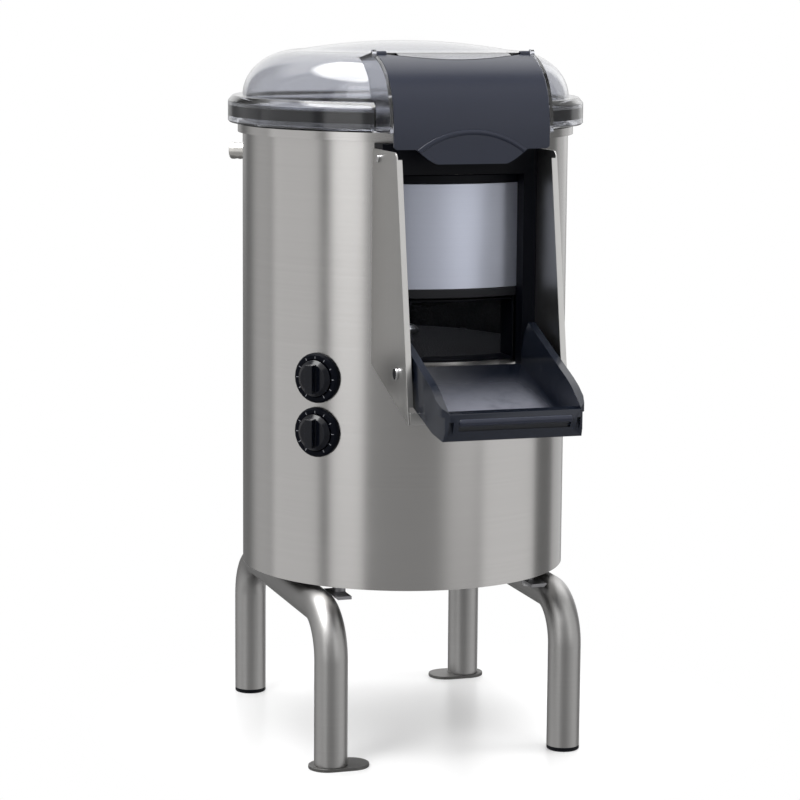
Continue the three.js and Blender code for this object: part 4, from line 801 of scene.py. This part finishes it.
def lid_solid():
    """The clear lid as one moulding: dome, flange and hood joined, then hollowed and opened."""
    sides, w, chamfer = sizes().sides, LID_WALL, 0.002
    under = LID_SEAT_Z - CUT_SLACK
    outside = turned_cap(np.vstack([
        [(0, LID_SEAT_Z), (FLANGE_R - chamfer, LID_SEAT_Z), (FLANGE_R, LID_SEAT_Z + chamfer)],
        flange_edge(), dome_profile(0),
    ]), sides)
    inside = turned_cap(np.vstack([[(0, under), (DOME_R - w, under)], dome_profile(w)]), sides)
    channel = sector([(DOME_R, under), (FLANGE_R - w, under), (FLANGE_R - w, FLANGE_UNDER),
                      (DOME_R, FLANGE_UNDER)], HOOD_HALF)
    inner, floor, top = HOOD_HALF - w, LID_SEAT_Z + w, HOOD_TOP + 0.01
    ahead = HOOD_FRONT - CUT_SLACK
    x = np.linspace(-inner, inner, 65)
    mouth_rear = np.stack([x, AXIS_Y - np.sqrt(MOUTH_R ** 2 - x ** 2)], 1)
    mouth = prism(np.vstack([mouth_rear, [(inner, ahead), (-inner, ahead)]]), floor, top, 2)
    front = box((-inner, ahead, under), (inner, HOOD_FRONT + w + GAP, top))
    cuts = [inside, hood_block(w, inner, floor), channel, mouth, front]
    joins = [hood_block(0, HOOD_HALF, LID_SEAT_Z)]
    for low, high in ((-HOOD_HALF, -inner), (inner, HOOD_HALF)):
        joins.append(rod(BOSS_R, low, high))
    for low, high in ((-inner, EAR - inner), (inner - EAR, inner)):
        cuts.append(box((low, HINGE_Y - 0.008, HINGE_Z - 0.008), (high, HINGE_Y + 0.0046, top)))
    outer = HOOD_HALF + CUT_SLACK
    for low, high in ((-outer, PIN - inner), (inner - PIN, outer)):
        cuts.append(rod(BORE_R, low, high))
    return combined(outside, joins, cuts)


def gasket_ring():
    """The gasket inside the clear flange, open where the hood stands."""
    low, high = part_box("lid_gasket")
    top = high[2] - GASKET_DROP
    return sector([(GASKET_INNER, low[2]), (GASKET_OUTER, low[2]), (GASKET_OUTER, top),
                   (GASKET_INNER, top)], HOOD_HALF + 0.0003)


def flap_skin():
    """The feed flap: each column of the grid climbs the upright front and the hood's curve.

    A column at X starts at the flap's lower edge, which dips to a tongue in the middle with a
    smooth step, and ends where the curve meets the circle of the body's radius.
    """
    tongue_half, tongue_slope, tongue_drop = 0.068, 0.026, 0.017
    corner_width, corner_rise = 0.004, 0.003
    x = np.linspace(-FLAP_HALF, FLAP_HALF, 97)
    tongue = np.clip((tongue_half - np.abs(x)) / tongue_slope, 0, 1)
    corner = np.clip((np.abs(x) - (FLAP_HALF - corner_width)) / corner_width, 0, 1)
    low = FLAP_LOW - tongue_drop * tongue ** 1.15 * (1.6 - 0.6 * tongue) + corner_rise * corner ** 2
    end_y = np.minimum(AXIS_Y - np.sqrt(sizes().body_radius ** 2 - x ** 2), HINGE_Y)

    def columns(offset):
        fine = np.linspace(0, np.pi / 2, 400)
        stop = np.interp(end_y, hood_curve(fine, offset)[0], fine)
        upright = low + (HOOD_BASE - low) * np.linspace(0, 1, 8)[:-1, None]
        curve_y, curve_z = hood_curve(stop * np.linspace(0, 1, 40)[:, None], offset)
        y = np.vstack([np.full_like(upright, HOOD_FRONT + offset), curve_y])
        z = np.vstack([upright, curve_z])
        return np.stack([np.broadcast_to(x, y.shape), y, z], 2)

    return sheet(columns(0.0), columns(FLAP_WALL))


def flap_ridge():
    """The raised arc on the flap: a half-round bead along a shallow arc."""
    half, rise, bead, proud, sunk = 0.066, 0.0225, 0.003, 0.0017, 0.0004
    radius = (half ** 2 + rise ** 2) / (2 * rise)
    reach = math.asin(half / radius)
    a = np.linspace(np.pi / 2 - reach, np.pi / 2 + reach, 61)
    b = np.linspace(0, np.pi, 9)
    across = radius - bead + bead * np.cos(b)
    x = np.outer(np.cos(a), across)
    z = FLAP_LOW + rise - radius + np.outer(np.sin(a), across)
    y = np.broadcast_to(HOOD_FRONT + sunk - proud * np.sin(b), x.shape)
    back = np.full(x.shape, HOOD_FRONT + 0.0010)
    return sheet(np.stack([x, y, z], 2), np.stack([x, back, z], 2))


def under_cheeks():
    """A wedge below the cheeks' slanted lower edge, as wide as the outlet.

    The edge is the straight line through a cheek's lowest rear point and its tip.
    """
    points = node_points("cheek_left")
    low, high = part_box("cheek_left")
    rear_y, rear_z = high[1], points[points[:, 1] > high[1] - 1e-4, 2].min()
    slope = (rear_z - low[2]) / (rear_y - low[1])
    near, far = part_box("outlet_frame")[0][1] - 0.002, rear_y + 0.002
    outline = [(near, low[2]), (far, low[2]), (far, rear_z + slope * (far - rear_y)),
               (near, rear_z + slope * (near - rear_y))]
    return prism(outline, 2 * low[0], -2 * low[0], 0)


def bezel_disc(node):
    """Middle, radius, facing and sideways direction of a round bezel, from its CAD points."""
    turn, axis = sizes().knob_angle, (0, AXIS_Y, 0)
    out = np.array([math.sin(turn), -math.cos(turn), 0.0])
    side = np.array([-out[1], out[0], 0.0])
    points = node_points(node)
    away = (points - axis) @ out
    flat = points[away > away.max() - 1e-4]
    across, up = (flat - axis) @ side, flat[:, 2]
    middle = axis + out * away.max() + side * (across.max() + across.min()) / 2
    middle[2] = (up.max() + up.min()) / 2
    return middle, (up.max() - up.min()) / 2, out, side


def dial_marks(node):
    """Short raised bars set round a bezel's face at equal turns, with a gap at the bottom."""
    middle, radius, out, side = bezel_disc(node)
    turn = np.radians(np.linspace(-60, 240, 11))[:, None, None]
    half_sizes, place = (radius * 0.055, 0.00035, 0.00012), radius * 0.90
    corner = np.array([(a, b, c) for a in (-1, 1) for b in (-1, 1) for c in (-1, 1)]) * half_sizes
    away, along = place + corner[None, :, :1], corner[None, :, 1:2]
    x = away * np.cos(turn) - along * np.sin(turn)
    z = away * np.sin(turn) + along * np.cos(turn)
    points = middle + x * side + z * np.array([0, 0, 1.0]) + corner[None, :, 2:] * out
    faces = np.array([(0, 1, 3, 2), (4, 6, 7, 5), (0, 4, 5, 1), (2, 3, 7, 6), (0, 2, 6, 4),
                      (1, 5, 7, 3)])
    faces = faces[None] + 8 * np.arange(len(turn))[:, None, None]
    return points.reshape(-1, 3), faces.reshape(-1, 4).tolist()


def leg_tube(side, foot_front, foot_rear):
    """A leg frame: a round section carried up, over two quarter bends and down again."""
    s = sizes()
    x, bend = side * s.leg_x, s.leg_bend
    quarter = np.linspace(0, np.pi / 2, 15)
    cos, sin = 1 - np.cos(quarter), 1 - np.sin(quarter)
    front = np.stack([-s.leg_y + bend * cos, s.run_z - bend * sin], 1)
    rear = np.stack([s.leg_y - bend * sin, s.run_z - bend * cos], 1)
    path = np.vstack([[(-s.leg_y, foot_front)], front, rear, [(s.leg_y, foot_rear)]])
    heading = np.concatenate([[np.pi / 2], np.pi / 2 - quarter, -quarter, [-np.pi / 2]])
    around = np.linspace(0, 2 * np.pi, 40, endpoint=False)

    def skin(radius):
        off = radius * np.sin(around)
        y = path[:, :1] - np.outer(np.sin(heading), off) + AXIS_Y
        z = path[:, 1:] + np.outer(np.cos(heading), off)
        return np.stack([np.broadcast_to(x + radius * np.cos(around), y.shape), y, z], 2)

    outer, inner = skin(s.tube_radius), skin(s.tube_radius - TUBE_WALL)
    rows, n = len(path), len(around)
    faces = quads(rows, n, False, True)
    off, last = rows * n, (rows - 1) * n
    k = np.arange(n)
    j = (k + 1) % n
    ends = [strip(k, j, j + off, k + off),
            strip(last + j, last + k, last + k + off, last + j + off)]
    points = np.vstack([outer.reshape(-1, 3), inner.reshape(-1, 3)])
    return points, np.vstack([faces, faces[:, ::-1] + off, *ends]).tolist()


def foot_plate(node):
    """A flat bar with round ends, from its CAD box: two half circles and two straight sides."""
    low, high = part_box(node)
    half = (high[1] - low[1]) / 2
    cy = (low[1] + high[1]) / 2
    outline = np.vstack([
        arc(high[0] - half, cy, half, -90, 90, 20), arc(low[0] + half, cy, half, 90, 270, 20),
    ])
    return prism(outline, low[2], high[2], 2)


def foot_cap(node):
    """A plastic cap under a tube: a disc with a rounded lower edge and a plug above it."""
    low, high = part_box(node)
    cx, cy = (low[0] + high[0]) / 2, (low[1] + high[1]) / 2
    r, rounding, disc = (high[0] - low[0]) / 2, 0.002, low[2] + 0.005
    plug = r - 0.0026
    profile = np.vstack([
        [(0, low[2])], arc(r - rounding, low[2] + rounding, rounding, -90, 0, 5), [(r, disc)],
        [(plug, disc), (plug, high[2]), (0, high[2])],
    ])
    return turned_cap(profile, 40, (cx, cy))


def soft_box(tree, turn, lift, at_turn, at_lift, width, height, blur, strength):
    """Light of one soft box in the surroundings, from a direction's turn and lift in degrees.

    The turn is measured from the box's own middle and wrapped to half a circle either way.
    """
    across = math_node(tree, "WRAP", math_node(tree, "SUBTRACT", turn, at_turn), 180.0, -180.0)
    above = math_node(tree, "SUBTRACT", lift, at_lift)
    lit = strength
    for away, half, soft in ((across, width / 2, blur), (above, height / 2, 2 * blur)):
        distance = math_node(tree, "ABSOLUTE", away)
        lit = times(tree, smooth_step(tree, distance, half + soft, half - soft), lit)
    return lit


def seen_directly(tree, path):
    """1 for what the camera sees, also through the clear lid."""
    return math_node(tree, "MAXIMUM", path.outputs["Is Camera Ray"],
                     path.outputs["Is Transmission Ray"])


def surroundings(studio):
    """The studio around the machine: dim, with upright soft boxes, and plain white to the camera.

    A direction's turn about the upright axis is measured from the camera, so each band of light on
    the steel body stands where half its turn puts it.
    """
    world = bpy.data.worlds.new("studio")
    world.use_nodes = True
    tree = world.node_tree
    back = tree.nodes["Background"]
    back.inputs["Color"].default_value = (1.0, 1.0, 1.0, 1.0)
    direction = add(tree, "ShaderNodeTexCoord").outputs["Generated"]
    upward = add(tree, "ShaderNodeSeparateXYZ", {"Vector": direction}).outputs["Z"]

    def along(vector):
        return add(tree, "ShaderNodeVectorMath", {0: direction, 1: vector},
                   operation="DOT_PRODUCT").outputs["Value"]

    toward = Vector((CAMERA_X, CAMERA_Y - AXIS_Y, 0.0)).normalized()
    right = Vector((-toward.y, toward.x, 0.0))
    turn = math_node(tree, "DEGREES", math_node(tree, "ARCTAN2", along(right), along(toward)))
    lift = math_node(tree, "DEGREES", math_node(tree, "ARCSINE", upward))
    path = add(tree, "ShaderNodeLightPath")
    window = times(tree, soft_box(tree, turn, lift, *WINDOW), path.outputs["Is Glossy Ray"])
    total = math_node(tree, "ADD", window, studio.world)
    for row in SOFT_BOXES:
        total = math_node(tree, "ADD", soft_box(tree, turn, lift, *row), total)
    mix = add(tree, "ShaderNodeMix", {"Factor": seen_directly(tree, path), "A": total, "B": 1.0})
    tree.links.new(mix.outputs["Result"], back.inputs["Strength"])
    return world


def floor_finish():
    """Pale floor that takes the shadow near the machine, turns plain white farther out and is left
    out of mirror reflections, as the studio's boxes would hide it."""
    made = bpy.data.materials.new("pale_floor")
    made.use_nodes = True
    tree = made.node_tree
    shader = tree.nodes["Principled BSDF"]
    shader.inputs["Base Color"].default_value = (FLOOR_GREY, FLOOR_GREY, FLOOR_GREY, 1)
    shader.inputs["Roughness"].default_value = 0.3
    shader.inputs["Specular IOR Level"].default_value = 0.35
    place = add(tree, "ShaderNodeTexCoord").outputs["Object"]
    reach = add(tree, "ShaderNodeVectorMath", {0: place, 1: FADE_MIDDLE}, operation="DISTANCE")
    fade = smooth_step(tree, reach.outputs["Value"], FADE_START, FADE_END)
    path = add(tree, "ShaderNodeLightPath")
    glow = add(tree, "ShaderNodeEmission")
    through = add(tree, "ShaderNodeBsdfTransparent")
    white = add(tree, "ShaderNodeMixShader", {
        0: times(tree, fade, seen_directly(tree, path)),
        1: shader.outputs["BSDF"], 2: glow.outputs["Emission"],
    })
    away = add(tree, "ShaderNodeMixShader", {
        0: path.outputs["Is Glossy Ray"], 1: white.outputs["Shader"], 2: through.outputs["BSDF"],
    })
    tree.links.new(away.outputs["Shader"], tree.nodes["Material Output"].inputs["Surface"])
    return made


class PEELER_OT_finishes(bpy.types.Operator):
    """Give the CAD nodes that stay in view their finishes"""

    bl_idname = "peeler.finishes"
    bl_label = "Finishes"

    def execute(self, context):
        clothe_cad_nodes()
        return {"FINISHED"}


class PEELER_OT_body(bpy.types.Operator):
    """Build the body wall and the top rim"""

    bl_idname = "peeler.body"
    bl_label = "Body"

    def execute(self, context):
        piece("body_wall", body_wall(), "body_steel", "machine", ["body_shell"], angle=50)
        piece("rim_ring", rim_ring(), "body_steel", "machine", ["top_rim"], angle=40)
        return {"FINISHED"}


class PEELER_OT_legs(bpy.types.Operator):
    """Build the leg frames, foot plates and foot caps"""

    bl_idname = "peeler.legs"
    bl_label = "Legs and feet"

    def execute(self, context):
        for word, side, ends in (("left", -1, (OVER_PLATE, OVER_CAP)),
                                 ("right", 1, (OVER_CAP, OVER_PLATE))):
            piece(f"leg_tube_{word}", leg_tube(side, *ends), "leg_steel", "machine",
                  [f"leg_frame_{word}"], angle=60)
        for node in ("foot_plate_front_left", "foot_plate_rear_right"):
            piece(f"{node}_bar", foot_plate(node), "foot_steel", "machine", [node], 0.0006,
                  slot="leg_steel")
        for node in ("foot_cap_front_right", "foot_cap_rear_left"):
            piece(f"{node}_moulding", foot_cap(node), "black_plastic", "machine", [node])
        return {"FINISHED"}


class PEELER_OT_fittings(bpy.types.Operator):
    """Build the brackets, bolts, screws and the water and cable fittings"""

    bl_idname = "peeler.fittings"
    bl_label = "Brackets and fittings"

    def execute(self, context):
        corners = [f"{end}_{side}" for end in ("front", "rear") for side in SIDES]
        rows = [(f"frame_bracket_{at}", "inner_steel") for at in corners]
        rows += [(f"frame_bolt_{at}", "bright_steel") for at in corners]
        rows += [(f"{kind}_{side}", "bright_steel") for kind in ("tray_pivot_bolt", "cheek_screw")
                 for side in SIDES]
        rows += [("water_inlet", "brass"), ("cable_gland", "black_plastic")]
        for node, look in rows:
            softened(node, look, "machine", 0.0004)
        return {"FINISHED"}


class PEELER_OT_chamber(bpy.types.Operator):
    """Build the drum, its abrasive lining and the disc"""

    bl_idname = "peeler.chamber"
    bl_label = "Chamber"

    def execute(self, context):
        softened("peeling_drum", "inner_steel", "machine")
        softened("abrasive_lining", "abrasive", "machine")
        softened("abrasive_disc", "abrasive", "spindle")
        softened("disc_cap", "cast_aluminium", "spindle")
        return {"FINISHED"}


class PEELER_OT_outlet(bpy.types.Operator):
    """Build the outlet's frame, its lifting door, the cheeks and the tray"""

    bl_idname = "peeler.outlet"
    bl_label = "Outlet, door and tray"

    def execute(self, context):
        softened("outlet_frame", "black_plastic", "machine", 0.0012, cuts=[under_cheeks()])
        softened("outlet_neck", "black_plastic", "machine", 0.0004)
        for name, node, look, edge in (
            ("door_plate", "outlet_door", "door_steel", 0.0004),
            ("door_edge", "outlet_door_edge", "rubber", 0.0012),
            ("door_grip", "outlet_door_grip", "black_plastic", 0.0015),
        ):
            bar = curved_bar(node, sizes().body_radius + GAP)
            piece(name, bar, look, "outlet_shutter", [node], edge)
        for side in SIDES:
            softened(f"cheek_{side}", "cheek_steel", "machine", 0.0005)
        softened("tray_rest_bar", "cheek_steel", "machine", 0.0004)
        low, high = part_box("discharge_tray")
        reach = high[0] - LIP_CORNER
        groove = box((-reach, low[1] - CUT_SLACK, low[2] + GROOVE_LOW),
                     (reach, low[1] + GROOVE_DEPTH, low[2] + GROOVE_HIGH))
        softened("discharge_tray", "tray_plastic", "tray", 0.0014, angle=30, cuts=[groove])
        bead = rod(BEAD_R, -reach, reach, low[1] + BEAD_IN, low[2] + BEAD_UP)
        piece("tray_lip_bead", bead, "flap_plastic", "tray", edge=0.0015, slot="tray_plastic")
        return {"FINISHED"}


class PEELER_OT_controls(bpy.types.Operator):
    """Build the timer and the switch with their dials"""

    bl_idname = "peeler.controls"
    bl_label = "Controls"

    def execute(self, context):
        for word in ("timer", "switch"):
            bezel = f"{word}_bezel"
            softened(bezel, "dial_black", "machine", 0.0008, slot="black_plastic")
            piece(f"{word}_marks", dial_marks(bezel), "dial_white", "machine",
                  slot="black_plastic")
            softened(f"{word}_knob", "knob_plastic", f"{word}_dial", 0.0009)
        return {"FINISHED"}


class PEELER_OT_lid(bpy.types.Operator):
    """Build the clear lid with its hood and gasket"""

    bl_idname = "peeler.lid"
    bl_label = "Lid"

    def execute(self, context):
        piece("lid_moulding", lid_solid(), "lid_clear", "lid", ["lid"], angle=32)
        piece("gasket_ring", gasket_ring(), "rubber", "lid", ["lid_gasket"])
        return {"FINISHED"}


class PEELER_OT_flap(bpy.types.Operator):
    """Build the feed flap"""

    bl_idname = "peeler.flap"
    bl_label = "Feed flap"

    def execute(self, context):
        piece("flap_cover", flap_skin(), "flap_plastic", "flap", ["feed_flap"], angle=40)
        for side, low, high in (("left", -FLAP_HALF, KNUCKLE - FLAP_HALF),
                                ("right", FLAP_HALF - KNUCKLE, FLAP_HALF)):
            knuckle = rod(KNUCKLE_R, low, high)
            piece(f"flap_knuckle_{side}", knuckle, "flap_plastic", "flap", edge=0.0004)
        piece("flap_arc", flap_ridge(), "flap_plastic", "flap", angle=60)
        return {"FINISHED"}


class PEELER_OT_stage(bpy.types.Operator):
    """Set up the camera, the floor and the soft light"""

    bl_idname = "peeler.stage"
    bl_label = "Studio"

    def execute(self, context):
        scene = context.scene
        studio = scene.peeler_studio
        scene.view_settings.view_transform = "Standard"
        camera = bpy.data.cameras.new("camera")
        camera.sensor_width = 36.0
        camera.lens = studio.lens
        camera.shift_x, camera.shift_y = CAMERA_SHIFT
        camera.clip_end = 60.0
        holder = placed("camera", camera)
        heading = math.atan2(-CAMERA_X, AXIS_Y - CAMERA_Y)
        turn = (Matrix.Rotation(-heading, 4, "Z")
                @ Matrix.Rotation(math.radians(90 - CAMERA_TILT), 4, "X")
                @ Matrix.Rotation(math.radians(CAMERA_ROLL), 4, "Z"))
        holder.location = (CAMERA_X, CAMERA_Y, CAMERA_Z)
        holder.rotation_euler = turn.to_euler()
        scene.camera = holder
        scene.world = surroundings(studio)
        mesh = bpy.data.meshes.new("floor")
        half = FLOOR_HALF
        corners = [(-half, -half, 0), (half, -half, 0), (half, half, 0), (-half, half, 0)]
        mesh.from_pydata(corners, [], [(0, 1, 2, 3)])
        mesh.materials.append(floor_finish())
        floor = placed("floor", mesh)
        for name, at, wide, power in LAMPS:
            lamp = bpy.data.lights.new(name, "AREA")
            lamp.shape = "RECTANGLE"
            lamp.size, lamp.size_y = wide
            lamp.energy = power * studio.key
            item = placed(name, lamp)
            item.location = at
            item.visible_glossy = False
            toward = Vector(LAMP_TARGET) - Vector(at)
            item.rotation_euler = toward.to_track_quat("-Z", "Y").to_euler()
        return {"FINISHED"}


class PEELER_PT_panel(bpy.types.Panel):
    """Lists the builders in the sidebar"""

    bl_label = "Peeling machine"
    bl_idname = "PEELER_PT_panel"
    bl_space_type = "VIEW_3D"
    bl_region_type = "UI"
    bl_category = "Peeler"

    def draw(self, context):
        for item in OPERATORS:
            self.layout.operator(item.bl_idname)


GROUPS = (
    ("peeler_sizes", PeelerSizes), ("peeler_looks", PeelerLooks), ("peeler_studio", PeelerStudio),
)
OPERATORS = (
    PEELER_OT_finishes, PEELER_OT_body, PEELER_OT_legs, PEELER_OT_fittings, PEELER_OT_chamber,
    PEELER_OT_outlet, PEELER_OT_controls, PEELER_OT_lid, PEELER_OT_flap, PEELER_OT_stage,
)


def register():
    """Registers the settings, the operators and the panel."""
    for name, item in GROUPS:
        bpy.utils.register_class(item)
        setattr(bpy.types.Scene, name, bpy.props.PointerProperty(type=item))
    for item in (*OPERATORS, PEELER_PT_panel):
        bpy.utils.register_class(item)


def unregister():
    """Removes what register added."""
    for item in (PEELER_PT_panel, *reversed(OPERATORS)):
        bpy.utils.unregister_class(item)
    for name, item in reversed(GROUPS):
        delattr(bpy.types.Scene, name)
        bpy.utils.unregister_class(item)


def main():
    register()
    bpy.ops.peeler.finishes()
    bpy.ops.peeler.body()
    bpy.ops.peeler.legs()
    bpy.ops.peeler.fittings()
    bpy.ops.peeler.chamber()
    bpy.ops.peeler.outlet()
    bpy.ops.peeler.controls()
    bpy.ops.peeler.lid()
    bpy.ops.peeler.flap()
    bpy.ops.peeler.stage()


if __name__ == "__main__":
    main()
